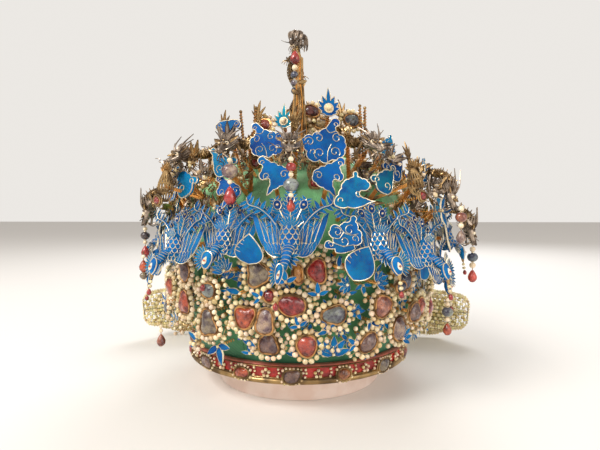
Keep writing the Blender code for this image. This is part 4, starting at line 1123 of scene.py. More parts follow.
def flaming_pearl(piece, spot, foot, hue):
    """Eleven flames on a circle, the top one long: tips at 15.6 or 8.5 + 0.8 sin a, valleys at 5.9 mm."""
    flames = []
    for k in range(11):
        tip, valley = math.radians(90 + k * 360 / 11), math.radians(90 + (k + 0.5) * 360 / 11)
        reach, rise = (15.6, 0) if k == 0 else (8.5 + 0.8 * math.sin(tip), 1.6)
        flames += [(reach * math.cos(tip), reach * math.sin(tip) + rise, 0.12),
            (5.9 * math.cos(valley), 5.9 * math.sin(valley), 0.12)]
    flames = arcs(flames, 3)
    a = radians(arange(0, 360, 15))
    disc = xyz(cos(a), sin(a), 0)
    piece.add_all(inlaid(flames, hue), spot)
    for radius, wire, level in ((3.4, 0.4, 0.8), (2.8, 0.34, 1)):
        piece.add(closed_wire(disc * radius + [0, 0, level], wire, 6), WIRE, at=spot)
    piece.add(*pearls(0, 0, 1.2, 2.5, turned(ball_rows(10), 16)), at=spot)
    piece.add(plate(disc * 4.3, 0.6, -0.9), GOLD, at=spot)
    spring(piece, spot, foot, off=(0, 0, -1))


piece = Piece("flaming_pearl_inlaid")
flaming_pearl(piece, place(15.8, 0.2262, 0.098, lean=8), (16.5, 0.182), MIDDLE)
piece.build("kingfisher_blue", "flaming_pearl")

# %% [markdown]
# A phoenix hangs with spread wings, its tail plumes fanned up behind it and its neck bent down to a crested
# head. On the real crown each plume is a stem with pointed barbs and a dark eye spot, the body has rows of
# scales in pale wire, and all of it trembles on one spring. It is built once for each of three necks, and
# nine frames carry it round the crown.

# %% Phoenix
def pointing(start, end, z):
    """Frames whose leaf, one unit long, runs from start to end in the plane."""
    x, y = (np.asarray(end, float) - start).T
    return frames(*np.transpose(start), z, np.degrees(np.arctan2(-x, y)), size=np.hypot(x, y))


def mirrored_pair(parts, swing=0.0):
    """The parts and their mirror image, each side swung back about y."""
    both = []
    for sign in (1, -1):
        at = turn_about(1, swing * sign)[0] @ np.diag([sign, 1.0, 1, 1])
        both += moved(parts, at)
    return both


SCALE_LIFT = 0.15


def scale_rows(radius_at, heights, spread, around, drop, depth):
    """Scale arcs on a turned body: angle = middle + width cos t and height = row - drop sin t, for t from 0
    to pi, laid on x = r sin angle and z = depth r cos angle. Odd rows are shifted by half a scale."""
    t = linspace(0, pi, 7)
    paths = []
    for row, height in enumerate(heights):
        middles = arange(-spread, spread + 1, around) + (row % 2) * around / 2
        angle = radians(middles[:, None] + around / 2 * cos(t))
        level = height - drop * sin(t)
        reach = radius_at(level) + SCALE_LIFT
        paths.append(xyz(reach * sin(angle), level, depth * reach * cos(angle)))
    return np.concatenate(paths)


def body_radius(y):
    return 6.5 * np.clip(1 - np.abs(y / 12) ** 2.3, 0, 1) ** 0.62


def plume(reach, curve):
    """Stem, blade, nine barbs on each side that shorten to the tip, and an eye spot with a seed pearl."""
    share = linspace(0.16, 0.92, 9)
    length = 6.4 * sin(pi * (0.22 + 0.66 * share)) + 1.2
    barb = leaf(3, 0.24, 0.05, curve=0.1, edge=0.86)
    parts = []
    for sign in (1, -1):
        at = frames(curve * share ** 2, share * reach, 0.1, -sign * 46, size=length)
        at[:, :3, 0] *= sign
        parts.append((barb.copies(at), FEATHER, (0.95, 1.05, 1)))
    stem = xyz(curve * linspace(0, 1, 8) ** 2, linspace(0, reach * 0.96, 8), 0.45)
    parts.append((wires(stem, linspace(0.6, 0.25, 8), 5), WIRE))
    # Backing blade under the barbs: its dark tint is painted shade that fills the gaps between the barbs.
    parts.append((leaf(6, 0.15, 0.02, edge=0.94).copies(frames(0, 0, -0.5, 0, size=reach)), FEATHER,
        (0.5, 0.62, 0.75)))
    a = linspace(0, 2 * pi, 15)[:-1]
    eye = xyz(curve * 0.72 + 2.5 * cos(a), reach * 0.8 + 3.3 * sin(a), 0.3)
    parts += [*inlaid(eye, (0.25, 0.35, 0.55), 0.9, 0.3, 0.45),
        pearls(curve * 0.72, reach * 0.8, 1.1, 0.95, SEED)]
    return parts


def phoenix_parts(chin, head_width):
    """Whole bird. chin is where the neck meets the head, and a head_width under 1 shows the head from its
    side."""
    chin = np.array(chin)
    shoulder = arcs([(1.5, -8, 0.2), (7, -11.6, 0.2), (13, -10.4, 0.3), (16.6, -4.5, 0.1), (11.5, -3, 0.2),
        (5, -3.6, 0.1)], 5)
    wings = inlaid(shoulder, (0.8, 0.95, 1), 1.5, 0.2, 0.8, 0.32)
    roots = [(4.4, -8), (7, -9), (9.6, -9.4), (12.2, -8.8), (14.4, -7.4)]
    tips = [(5.8, 6.5), (9.4, 10.6), (13, 12.6), (17, 14), (23.5, 19)]
    wings.append((leaf(6, 0.135, 0.035, curve=0.1, edge=0.88).copies(pointing(roots, tips, 0.1)), FEATHER,
        (0.95, 1, 1.05)))
    vanes = np.stack([xyz(*np.transpose(ends), 0.75) for ends in (roots, tips)], 1)
    wings.append((wires(vanes, 0.26, 4), WIRE))
    coverts = linspace(3, 14, 6)
    at = frames(coverts, -10.2 + 0.05 * (coverts - 8) ** 2, 1, -4 - 1.4 * coverts, size=8.2)
    wings.append((leaf(4, 0.26, 0.08).copies(at), FEATHER, (0.8, 1.1, 1.15)))
    parts = mirrored_pair(wings, 16)

    rows = [(y, 0 if abs(y) > 11.9 else body_radius(y)) for y in linspace(-12, 12, 11)]
    parts.append((turned(rows, 16, 0.85), FEATHER, (0.85, 1, 1.1)))
    parts.append((wires(scale_rows(body_radius, arange(8, -9, -3.2), 80, 40, 2.7, 0.85), 0.3, 4), WIRE))
    parts.append((leaf(4, 0.19, 0.07).copies(fan_of(linspace(-50, 50, 7), 6.6, y=6, z=3.6, off=2.4,
        tip=12)), FEATHER, (1.1, 1.1, 1)))

    tail = turn_about(0, -7)[0]
    tail[:3, 3] = 0, 0, -3.6
    for k in range(-2, 3):
        at = tail @ frames(0, 3, -0.25 * abs(k), -21 * k)[0]
        parts += moved(plume(30 - 2.2 * abs(k), 1.2 * k), at)

    ribbon = smooth([(4, 0, -2.5), (12, 13, -2), (20, 20, -1), (27, 22.5, 0.5), (28.5, 27, 1)], 16)
    blades = ribbon[3:15:2]
    streamer = [(wires(ribbon, linspace(1.5, 0.6, 16), 8), FEATHER),
        (wires(ribbon + [0, 0, 1.2], 0.28, 4), WIRE),
        (leaf(4, 0.24, 0.07, curve=-0.2, edge=0.86).copies(frames(*blades.T, 14, size=6.6)), FEATHER),
        (leaf(4, 0.24, 0.07, curve=0.2, edge=0.86).copies(frames(*blades.T, -104, size=6)), FEATHER)]
    parts += mirrored_pair(streamer, 4)

    neck = smooth([(0, -5, 2), (0.2, 0.45, 0.5) * chin, (0.45, 0.78, 0.8) * chin, chin], 9)
    parts.append((wires(neck, linspace(4, 2.1, 9), 12), FEATHER, (0.85, 1, 1.05)))
    angle = circle(12)
    for k in range(1, 8):
        level = neck[k] + (4.05 - 0.24 * k) * xyz(cos(angle), 0.45 * sin(angle), 0.9 * sin(angle))
        parts.append((closed_wire(level, 0.25, 4), WIRE))
    ruff = fan_of(linspace(80, 280, 9), 6.5, x=0.3 * chin[0], y=0.6 * chin[1], z=6, off=2.8, tip=25)
    parts.append((leaf(4, 0.2, 0.07).copies(ruff), FEATHER, (1, 1.1, 1)))

    head = [(turned([(-3, 0), (-2.2, 2), (0, 3.4), (3, 4.2), (6, 3.6), (8.4, 2.2), (9.8, 1.2), (10.4, 0)],
        14, 0.66), FEATHER, (0.9, 1.1, 1.15))]
    t = linspace(0, 2 * pi, 21)[:-1]
    face = xyz(3.9 * sin(t) * (1 - 0.25 * cos(t)), 3.4 + 5.9 * cos(t), 0.9)
    head += [(closed_wire(face, 0.4, 5), WIRE),
        (turned([(8, 0), (8.4, 1.6), (10.6, 1.35), (12.4, 0.7), (13.6, 0)], 8, 0.9), GOLD)]
    head.append((leaf(5, 0.3, 0.12).copies(frames(0.9, 6.4, 2.5, 165, size=5.4)), "seed_pearl",
        (1.1, 1.15, 1.2)))
    head.append((SEED.copies(frames(0.2, 3.9, 3.2, size=0.85)), "set_stone", (0.6, 0.1, 0.05)))
    head.append((leaf(4, 0.15, 0.08).copies(fan_of(linspace(-150, -28, 9), 7.6, x=0.8, y=2.6, off=2.4,
        z=0.4)), FEATHER, (1.1, 1.15, 1)))
    at = frames(chin[0], chin[1] + 1, chin[2], 172.0, size=1.08, wide=head_width)[0]
    parts += moved(head, at)
    drop_x, drop_y = chin[0] - np.array([2.1, 2.2]), chin[1] - np.array([14.4, 17.8])
    parts.append(pearls(drop_x, drop_y, chin[2], np.array([1.5, 1.7])))
    parts.append((turned([(-2.6, 0), (-1.8, 1.5), (0, 1.9), (1.6, 1.2), (2.6, 0)],
        8).copies(frames(drop_x[1], chin[1] - 22.2, chin[2])), "set_stone", RUBY))
    return parts


NECKS = {"long": ((-5, -20.5, 12.4), 0.55), "short": ((-3.4, -13, 12.4), 1),
    "turned": ((0.5, -12.5, 3), 0.9)}
PHOENIXES = [
    ("phoenix_front", 0.5, 0.133, 0.139, 10, 1, "long"),
    ("phoenix_left_1", -19.5, 0.131, 0.134, 10, 0.92, "short"),
    ("phoenix_right_1", 26.3, 0.128, 0.137, 10, -0.96, "short"),
    ("phoenix_left_2", -36, 0.125, 0.141, 10, 0.92, "short"),
    ("phoenix_right_2", 43, 0.121, 0.141, 10, -0.92, "short"),
    ("phoenix_left_3", -66, 0.108, 0.131, 8, 0.92, "turned"),
    ("phoenix_right_3", 62, 0.104, 0.134, 8, -0.92, "turned"),
    ("phoenix_left_4", -92, 0.125, 0.136, 10, 1, "short"),
    ("phoenix_right_4", 90, 0.125, 0.14, 10, -1, "short"),
]
PHOENIX_PARTS = {neck: phoenix_parts(*row) for neck, row in NECKS.items()}
for name, azimuth, height, radius, lean, scale, neck in PHOENIXES:
    spot = place(azimuth, height, radius, lean, scale=scale)
    piece = Piece(name + "_inlaid").add_all(PHOENIX_PARTS[neck], spot)
    spring(piece, spot, (azimuth, height + 0.001), *BIG_COIL, off=(0, 1, -5))
    piece.build("kingfisher_blue", name)

# %% [markdown]
# Twelve gold dragons ride above. Their bodies are open filigree: twisted wire wound both ways over a core,
# with a row of small spines. Their heads were silvered and have gone grey-brown, with long snouts, swept
# horns, a mop of mane and whiskers of fine wire. A dragon is built round its own spine, and each pose is a
# list of knots.

# %% Dragons
DRAGON_POSES = {
    "rearing": dict(spine=[(0, 0, 0), (0, -8, -5), (3, -22, -4), (-3, -38, -5), (3, -54, -5), (-2, -68, -5),
        (0, -78, -4)], girth=4.4, gaze=(0.35, -0.25, 0.9), tail=(0, -0.5, 0.8), head=0.78,
        legs=[(0.25, (6, -14, 2)), (0.32, (-5.5, -27, 3)), (0.68, (9, -58, 1)), (0.74, (-9, -70, 2))]),
    "facing": dict(spine=[(0, 0, 0), (0, 3, -8), (4, 4, -20), (-4, 2, -33), (2, 6, -45), (3, 15, -50),
        (0, 24, -46)], girth=3.9, gaze=(0, -0.35, 0.94), tail=(0.1, 0.9, 0.3),
        legs=[(0.25, (8, -7, -11)), (0.28, (-8, -7, -13)), (0.6, (9, -8, -32)), (0.62, (-9, -8, -36))]),
    "striding": dict(spine=[(0, 0, 0), (-2, 4, -7), (4, 2, -17), (-2, 6, -27), (2, 16, -35), (-1, 26, -38)],
        girth=3.6, gaze=(0.25, -0.45, 0.86), tail=(0.15, 0.95, 0.1),
        legs=[(0.25, (8, -6, -8)), (0.3, (-9, -5, -12)), (0.58, (8, -5, -27)), (0.62, (-8, -4, -29))]),
    "stooping": dict(spine=[(0, 0, 0), (0, 8, 1), (2, 14, -6), (-3, 16, -16), (2, 19, -26), (0, 28, -31)],
        girth=3.5, gaze=(0.05, -0.95, 0.3), tail=(-0.1, 0.9, -0.2),
        legs=[(0.3, (9, 6, -4)), (0.36, (-9, 7, -6)), (0.62, (8, 8, -20)), (0.66, (-8, 9, -22))]),
}


def along_axis(origin, forward, up=(0, 1, 0.2)):
    """Frame at origin whose y looks forward and whose z is as near up as it can be."""
    y = unit(np.asarray(forward, float))
    x = unit(np.cross(y, up))
    made = np.eye(4)
    made[:3, 0], made[:3, 1], made[:3, 2], made[:3, 3] = x, y, np.cross(x, y), origin
    return made


def filigree(spine, girth):
    """Five wires wound nine turns each way round a spine: point = spine + girth (cos a side + sin a other), a
    = +- 2 pi turns u + phase."""
    strands, turns, steps = 5, 9, 110
    path = smooth(spine, steps)
    heading = unit(np.gradient(path, axis=0))
    side = unit(np.cross(heading, (0.9, 0.2, 0.1)))
    other = np.cross(heading, side)
    u = linspace(0, 1, steps)
    width = girth(u)[:, None]
    paths = []
    for way in (1, -1):
        a = way * 2 * pi * turns * u[None] + 2 * pi * arange(strands)[:, None] / strands
        paths.append(path + width * (cos(a)[..., None] * side + sin(a)[..., None] * other))
    return np.concatenate(paths)


def dragon_head():
    """Head along y with z up: skull, jaws, nose, eyes, horns, ears, mane, whiskers and beard."""
    parts = [(turned([(-3, 0), (-2.4, 2.2), (0, 3.7), (2.6, 4.3), (5, 3.5), (7.4, 2.5), (9.6, 2.5),
        (11.2, 2), (12.2, 0)], 12, 0.85), SILVER),
        (turned([(-1, 0), (0, 1.6), (4, 1.7), (8, 1.4), (10.4, 0)], 9,
        0.55).copies(frames(0, 0.4, -3.1, tip=-10)), SILVER),
        (SEED.copies(frames([-1.3, 1.3], 11.6, 1.1, size=0.95)), SILVER),
        (BEAD.copies(frames([-2.7, 2.7], 3.8, 2.3, size=1.25)), "seed_pearl", (1.1, 1.1, 1.1)),
        (SEED.copies(frames([-3.1, 3.1], 4.5, 2.9, size=0.6)), "set_stone", (0.02, 0.02, 0.02))]
    teeth = linspace(5.5, 10, 4)
    parts.append((leaf(3, 0.25, 0.2).copies(frames(np.r_[teeth * 0 + 1.6, teeth * 0 - 1.6],
        np.r_[teeth, teeth], -1.5, tip=-90, size=1.6)), "seed_pearl", (1.1, 1.1, 1.1)))
    sides = []
    for reach, rise, spread in ((13, 6.5, 4), (8.5, 4, 7)):
        horn = smooth([(1.7, 0.5, 3), (2.4 + spread * 0.3, -3, 4.4 + rise * 0.3),
            (2 + spread, -reach, 3 + rise)], 8)
        sides.append((wires(horn, linspace(0.95, 0.25, 8), 6), SILVER))
    ear = leaf(4, 0.26, 0.1).copies(frames(3.4, 0.6, 1.8, -125, tip=20, size=6))
    sides.append((ear, GOLD))
    share = linspace(0, 1, 9)
    lock = radians(linspace(-50, 82, 9))[:, None]
    flow = 8 + 4 * cos(1.3 * lock)
    mane = xyz((2.6 + 3.6 * share ** 0.7) * cos(lock) + 0.4 * sin(6 * share + lock * 4), 0.6 - flow * share,
        (2.6 + 3.4 * share ** 0.7) * sin(lock) + 0.6 * sin(5 * share + lock * 3))
    sides.append((wires(mane, 1.15 * (1 - 0.78 * share ** 1.5), 6), SILVER))
    whiskers = [smooth([(1.7, 10.6, 0.2), (6, 12, 1.2), (9, 7.6, 2), (11.5, 9.5, 3.4)], 9),
        smooth([(1.6, 9.4, -2.6), (4, 9, -6), (3.6, 5.6, -8.2), (6, 4.6, -9.6)], 9),
        smooth([(0.6, 9.8, -3), (1.4, 10.4, -6.2), (0.6, 8, -8.6), (1.6, 8.4, -10.4)], 9),
        smooth([(2.8, 3.2, -2), (5.2, 1, -4.6), (6.2, -3, -5.6), (8.4, -4.6, -7)], 9)]
    sides.append((wires(whiskers, linspace(0.45, 0.18, 9), 4), SILVER))
    brow = leaf(4, 0.22, 0.12).copies(frames(1.9, 7.2, 3, 172, tip=-15, size=6))
    sides.append((brow, GOLD))
    parts += mirrored_pair(sides)
    parts.append((leaf(4, 0.2, 0.12).copies(frames(0, [4.5, 2, -0.5], [3.4, 3.9, 3.6], 180, tip=-40,
        size=[3.2, 4.2, 5])), GOLD))
    return parts


def clawed_leg(root, foot):
    """Thigh and shank on a bent path, a cuff of leaves and four claws."""
    root, foot = np.asarray(root, float), np.asarray(foot, float)
    knee = (root + foot) / 2 + (0, 3, 1.5)
    path = smooth([root, knee, foot], 9)
    parts = [(wires(path, linspace(1.7, 0.9, 9), 7), GOLD)]
    out = unit(foot - knee)
    grip = along_axis(foot, out, (0.1, 0.2, 1))
    claws = np.array([smooth([(0, -0.5, 0), (x, 2.2, 0.6), (x * 1.5, 4.2, -1.4)], 6)
        for x in (-2.3, -0.8, 0.8, 2.3)])
    parts.append((wires(carried(grip, claws), linspace(0.62, 0.14, 6), 5), GOLD))
    cuff = leaf(3, 0.25, 0.1).copies(grip @ fan_of([130, 165, 195, 230], 4, z=0.4))
    parts.append((cuff, SILVER))
    return parts


HEAD = dragon_head()


def dragon_parts(pose):
    """Core, filigree, spines, legs, tail and head round the spine of a pose."""
    spine, thick = pose["spine"], pose["girth"]

    def girth(u):
        return thick * (0.62 + 0.38 * sin(pi * np.clip(u * 1.25, 0, 1))) * (1 - 0.45 * u ** 2)

    path = smooth(spine, 40)
    u = linspace(0, 1, 40)
    parts = [(wires(path, girth(u) * 0.74, 9), GOLD),
        (wires(filigree(spine, lambda u: girth(u) * 0.97), 0.4, 3), GOLD)]
    heading = unit(np.gradient(path, axis=0))
    away = unit(np.cross(np.cross(heading, (0, 0.5, 1)), heading))
    keep = arange(3, 39, 2)
    spines = np.stack([along_axis(path[k] + away[k] * girth(u[k]) * 0.8, away[k] + 0.35 * heading[k],
        heading[k]) for k in keep])
    spines[:, :3, :3] *= (3.4 - 1.2 * u[keep])[:, None, None]
    parts.append((leaf(3, 0.3, 0.12).copies(spines), GOLD))
    for share, foot in pose["legs"]:
        parts += clawed_leg(path[int(share * 39)], foot)
    tip = along_axis(path[-1], pose["tail"], (0.2, 0.1, 1))
    tuft = fan_of([-50, -27, 0, 27, 50], [8, 11, 13.5, 11, 8], y=-1)
    parts.append((leaf(5, 0.11, 0.06, curve=0.12).copies(tip @ tuft), GOLD))
    face = along_axis(np.zeros(3), pose["gaze"])
    face[:3, :3] *= pose.get("head", 1.12)
    parts += moved(HEAD, face)
    return parts


DRAGON_PARTS = {pose: dragon_parts(DRAGON_POSES[pose]) for pose in DRAGON_POSES}
DRAGONS = [
    ("dragon_top_front", 0.5, 0.285, 0.064, "rearing", 0, -1, (1, 0.186)),
    ("dragon_centre", 0.5, 0.1935, 0.136, "facing", 0, 1, (0.5, 0.164)),
    ("dragon_left_1", -20, 0.196, 0.128, "striding", -8, 1, (-20, 0.166)),
    ("dragon_right_1", 27, 0.1975, 0.126, "striding", 8, -1, (27, 0.166)),
    ("dragon_left_2", -37, 0.1905, 0.134, "striding", -10, 1, (-37, 0.16)),
    ("dragon_right_2", 51, 0.164, 0.148, "stooping", 10, -1, (51, 0.15)),
    ("dragon_left_3", -66, 0.152, 0.136, "stooping", -8, 1.05, (-66, 0.145)),
    ("dragon_right_3", 71, 0.136, 0.152, "stooping", 8, -1.05, (71, 0.135)),
    ("dragon_top_back", 180, 0.248, 0.06, "striding", 0, 1, (180, 0.188)),
    ("dragon_back_left", -128, 0.19, 0.132, "striding", 0, 1, (-128, 0.16)),
    ("dragon_back_centre", 180, 0.19, 0.134, "facing", 0, -0.95, (180, 0.162)),
    ("dragon_back_right", 128, 0.19, 0.132, "striding", 0, -1, (128, 0.16)),
]
for name, azimuth, height, radius, pose, turn, scale, foot in DRAGONS:
    spot = place(azimuth, height, radius, turn=turn, scale=scale)
    piece = Piece(name + "_filigree").add_all(DRAGON_PARTS[pose], spot)
    middle = smooth(DRAGON_POSES[pose]["spine"], 40)[26]
    spring(piece, spot, foot, *BIG_COIL, off=middle)
    piece.build("aged_gold", name)

# %% [markdown]
# Behind the front row the top of the crown is a thicket: gilt vases of twisted wire, pairs of upright rods,
# stones in pearl rings, and brown scrolls of old filigree. Each scroll is a handful of curls and leaves,
# drawn at random within narrow limits and set on its own spring, so the cap hardly shows between the
# clouds.

# %% Filigree behind the clouds
def scroll_cluster():
    """Seeded tuft of six curls, seven leaves and three pearls, about 20 mm across."""
    curls = [curl(draw(-6, 6), draw(-5, 6), draw(2.6, 4.8), draw(0, 360),
        RANDOM.choice([-1, 1]) * draw(380, 560), draw(-3, 3), 15) for _ in range(6)]
    turns = draw(-110, 110, 7)
    kind = SILVER if RANDOM.random() < 0.35 else GOLD
    dots = draw(-6, 6, (3, 2))
    fan = fan_of(turns, draw(7, 13, 7), off=1.5, tip=18)
    return [(wires(curls, linspace(0.66, 0.38, 15), 4), kind),
        (leaf(4, 0.17, 0.1, curve=0.3, arch=0.3).copies(fan), kind),
        pearls(*dots.T, 2, draw(1.2, 1.9, 3), SEED)]


def column_and_mop():
    """For the dragon on top: locks that leave its crown in a circle, bow out and fall, and a skirt of wires
    below, whose radius is 2.6 + 4.8 u^1.5 at share u of the way down."""
    a = radians(draw(-215, 115, 34))[:, None]
    u = linspace(0, 1, 8)
    reach = draw(3.5, 7.4, (34, 1)) * sin(u * 1.9)
    fall = (8 + 5 * cos(a + 0.5)) * draw(0.7, 1.15, (34, 1))
    locks = xyz(1.6 + (1 + reach) * cos(a + 0.5 * u), 7 + 1.6 * sin(3 * u) - fall * u ** 1.8,
        (1 + reach) * sin(a + 0.5 * u) + 2)
    a = radians(arange(0, 360, 20))[:, None] + 0.25 * sin(9 * u)
    wide = 2.6 + 4.8 * u ** 1.5
    skirt = xyz(3.2 + wide * cos(a), -13 - 78 * u, 4.5 + wide * sin(a) + 10 * u)
    ticks = frames(3.2, -16 - 9 * arange(8), 8.5 + 1.3 * arange(8), arange(8) * 140, size=6.5)
    return [(wires(locks, linspace(1.3, 0.35, 8), 6), SILVER), (wires(skirt, 0.62, 5), GOLD),
        (wires(skirt[::3] * [1, 1, 1.04], 0.5, 4), "spring_gilt"), (leaf(4, 0.3, 0.12).copies(ticks), GOLD)]


Piece("column_of_the_top_dragon").add_all(column_and_mop(), place(0.5, 0.285, 0.064)).build("aged_gold")

# The front phoenixes and clouds keep this sector free, in degrees, up to this height
FREE_MIDDLE, FREE_HALF_WIDTH, FREE_TOP = 3, 22, 0.186
piece = Piece("scrolls_of_filigree")
gaps = [(-33, 0.187, 0.128), (-38, 0.179, 0.133), (-29, 0.176, 0.128), (-43, 0.168, 0.136),
    (-24, 0.202, 0.112), (-48, 0.176, 0.126), (33, 0.197, 0.112), (37, 0.186, 0.12), (46, 0.18, 0.13),
    (53, 0.172, 0.133), (22, 0.207, 0.102), (45, 0.163, 0.142)]
for azimuth in arange(-172, 180, 13.5):
    for height in (0.15, 0.172, 0.192):
        az, level = azimuth + draw(-5, 5), height + draw(-0.006, 0.006)
        if abs(az - FREE_MIDDLE) > FREE_HALF_WIDTH or level > FREE_TOP:
            gaps.append((az, level, cap_radius(level) + draw(0.008, 0.02)))
for az, level, radius in gaps:
    spot = place(az, level, radius, lean=30, roll=draw(-40, 40))
    piece.add_all(scroll_cluster(), spot)
    spring(piece, spot, (az, level - 0.008), 1, 0.36, 2.2)
piece.build("aged_gold")


def vase(piece, spot, height, width):
    """Open vase of wires: each wire runs up at its own angle, at a radius width (0.30 + 0.70 sin(pi u^0.8)),
    with four rings from the foot to the lip, and leaves round the lip."""
    u = linspace(0, 1, 14)
    bulge = width * (0.3 + 0.7 * sin(pi * u ** 0.8))
    angle = radians(arange(0, 360, 24))[:, None] + 0.7 * u
    staves = xyz(bulge * cos(angle), height * (u - 0.5), bulge * sin(angle))
    piece.add(wires(np.concatenate([staves, staves * [-1, 1, 1]]), 0.4, 4), GOLD, at=spot)
    a = radians(arange(0, 360, 20))
    for k in (0, 4, 8, 13):
        ring = xyz(bulge[k] * cos(a), height * (u[k] - 0.5), bulge[k] * sin(a))
        piece.add(closed_wire(ring, 0.5, 5), GOLD, at=spot)
    lip = frames(0, height * 0.42, 0, linspace(-60, 60, 7), size=width * 1.5)
    piece.add(leaf(4, 0.2, 0.1).copies(lip), GOLD, at=spot)


piece = Piece("gilt_vases")
for azimuth, level, radius, tall_by, width, tilt in (
        (-35.5, 0.168, 0.148, 21, 5.4, -6), (36.7, 0.171, 0.143, 19, 5.2, 18),
        (8.5, 0.18, 0.108, 17, 4.4, 0), (-15, 0.196, 0.096, 20, 3.6, 4)):
    spot = place(azimuth, level, radius, roll=tilt)
    vase(piece, spot, tall_by, width)
    stone = place(azimuth, level - 0.01, radius + 0.006)
    piece.add_all(set_stone(stone_outline(3, 2.6, 0.1), 2, RUBY, 0.6), stone)
    spring(piece, spot, (azimuth, level - 0.012), 1.1, 0.36)
for azimuth, level, radius, tilt in (
        (31, 0.211, 0.1, 2), (33, 0.21, 0.1, -2), (-16.5, 0.208, 0.1, -4), (-21, 0.206, 0.102, 8)):
    spot = place(azimuth, level, radius, lean=4, roll=tilt)
    rod = [(0, y, 0) for y in linspace(-19, 19, 20)]
    piece.add(wires(rod, 0.55 + 0.35 * sin(linspace(0.2, 2.9, 20)), 6), GOLD, at=spot)
    twist = coil((0, -18, 0), (0, 17, 0), 1.25, 2.2)
    piece.add(wires(twist, 0.34, 4), "spring_gilt", at=spot)
    piece.add(BEAD.copies(frames(0, 19, 0, size=1.3)), GOLD, at=spot)
    spring(piece, spot, (azimuth, 0.178), 1, 0.34, off=(0, -17, 0))
piece.build("aged_gold")

piece = Piece("stones_behind_the_top")
for azimuth, level, radius, half, tint in (
        (10.5, 0.229, 0.072, 5.6, (0.09, 0.008, 0.008)), (29.4, 0.22, 0.09, 6, (0.05, 0.07, 0.1)),
        (17, 0.22, 0.07, 5, (0.34, 0.24, 0.13)), (-14, 0.216, 0.088, 4.6, GARNET),
        (160, 0.215, 0.08, 5.5, RUBY), (-160, 0.215, 0.08, 5.5, SLATE)):
    spot = place(azimuth, level, radius, lean=12)
    outline = stone_outline(half, half * 0.82, 0.08)
    piece.add_all(set_stone(outline, 3, tint, 1, "collet_gilt"), spot)
    halo = along(grown(outline, 3.2), 3.9)
    piece.add(*pearls(*halo[:, :2].T, 0.2, draw(1.6, 1.95, len(halo))), at=spot)
    spring(piece, spot, (azimuth, 0.192), 1.1, 0.34, off=(0, 0, -1))
spot = place(15.6, 0.219, 0.066, lean=25)
swarm = draw(-1, 1, (46, 3)) * [11.5, 7.5, 3.5]
piece.add(*pearls(*swarm.T, draw(1.7, 2.5, 46)), at=spot)
stalks = np.stack([swarm * 0.3 + [0, -9, -4], swarm], 1)
piece.add(wires(stalks, 0.3, 4), GOLD, at=spot)
spring(piece, spot, (16, 0.196), 1.1, 0.34, off=(0, -9, -4))
piece.build("set_stone")

# %% [markdown]
# Two borders of pearls run up the cap on each side, before and behind the temple, towards the top where the
# gores meet.

# %% Pearl borders on the cap
piece = Piece("cap_pearl_borders")
for azimuth in (66, -66, 114, -114):
    level = linspace(0.125, CAP_TOP - 0.012, 26)
    reach = (cap_radius(level) + 0.0022) / MM
    az = math.radians(azimuth)
    for shift in (-2.2, 2.2):
        x = reach * math.sin(az) + shift * math.cos(az)
        y = -reach * math.cos(az) + shift * math.sin(az)
        piece.add(*pearls(x, y, level / MM, draw(1.7, 2.1, 26)), at=MILLIMETRES)
piece.build("pearl")

# %% [markdown]
# Three blades of pearl lace stand out behind each temple and droop to the level of the stand. Each is a
# wire frame filled with a lattice, and seed pearls are threaded along its edge and its lattice. A blade is
# easy to build on a grid of its own: u runs along it and v across it, so a straight diagonal in u and v
# stays inside the outline by itself.

# %% Side fans
BLADE_LENGTH = 142
BLADE_PROFILE = np.array([(0, 7), (40, 15), (88, 21), (118, 21.5), (130, 20.5), (137, 18), (141, 13),
    (142, 9)])


def on_blade(u, v):
    """Point of the blade: x = u, y = v times the half width at u, and a slight cup 1.5 (v^2 - 0.4) in z."""
    half = np.interp(u, *BLADE_PROFILE.T)
    return xyz(u, v * half, 1.5 * (v ** 2 - 0.4))


def greener(part, tint):
    surface, kind, tints = part
    return surface, kind, tints * tint


def blade_parts():
    """Lattice of slanted lines both ways, edge wire, middle wire, and pearls along the edge and the
    lattice."""
    v = linspace(-1, 1, 9)
    starts = arange(-12, 140, 5.4)
    slant = 10.5
    lines = []
    for way in (1, -1):
        u = np.clip(starts[:, None] + slant * (v + 1), 1, BLADE_LENGTH - 0.8)
        lines.append(on_blade(u, way * v))
    lines = np.concatenate(lines)
    parts = [(wires(lines, 0.32, 4), "lattice_wire")]
    u = np.concatenate([linspace(1, 125, 22), linspace(129, 141.6, 6)])
    edge = np.concatenate([on_blade(u, np.ones(28)), on_blade(u[::-1], -np.ones(28))])
    parts.append((closed_wire(edge, 0.75, 6), WIRE))
    mid = on_blade(linspace(1, 140, 24), np.zeros(24))
    parts.append((wires(mid, 0.8, 6), "lattice_wire"))
    rim = along(edge, 3.1)
    parts.append(greener(pearls(*rim.T, draw(1.5, 1.9, len(rim)), SEED), (1.02, 1.08, 0.92)))
    t = (arange(10) + 0.5) / 10
    inner = np.stack([np.stack([np.interp(t, linspace(0, 1, 9), line[:, k]) for k in range(3)], -1)
        for line in lines])
    inner = inner.reshape(-1, 3)
    inner = inner[(inner[:, 0] > 2.5) & (inner[:, 0] < 139)]
    parts.append(greener(pearls(*inner.T, draw(1.8, 2.4, len(inner)), GRAIN), (1, 1.06, 0.88)))
    return parts


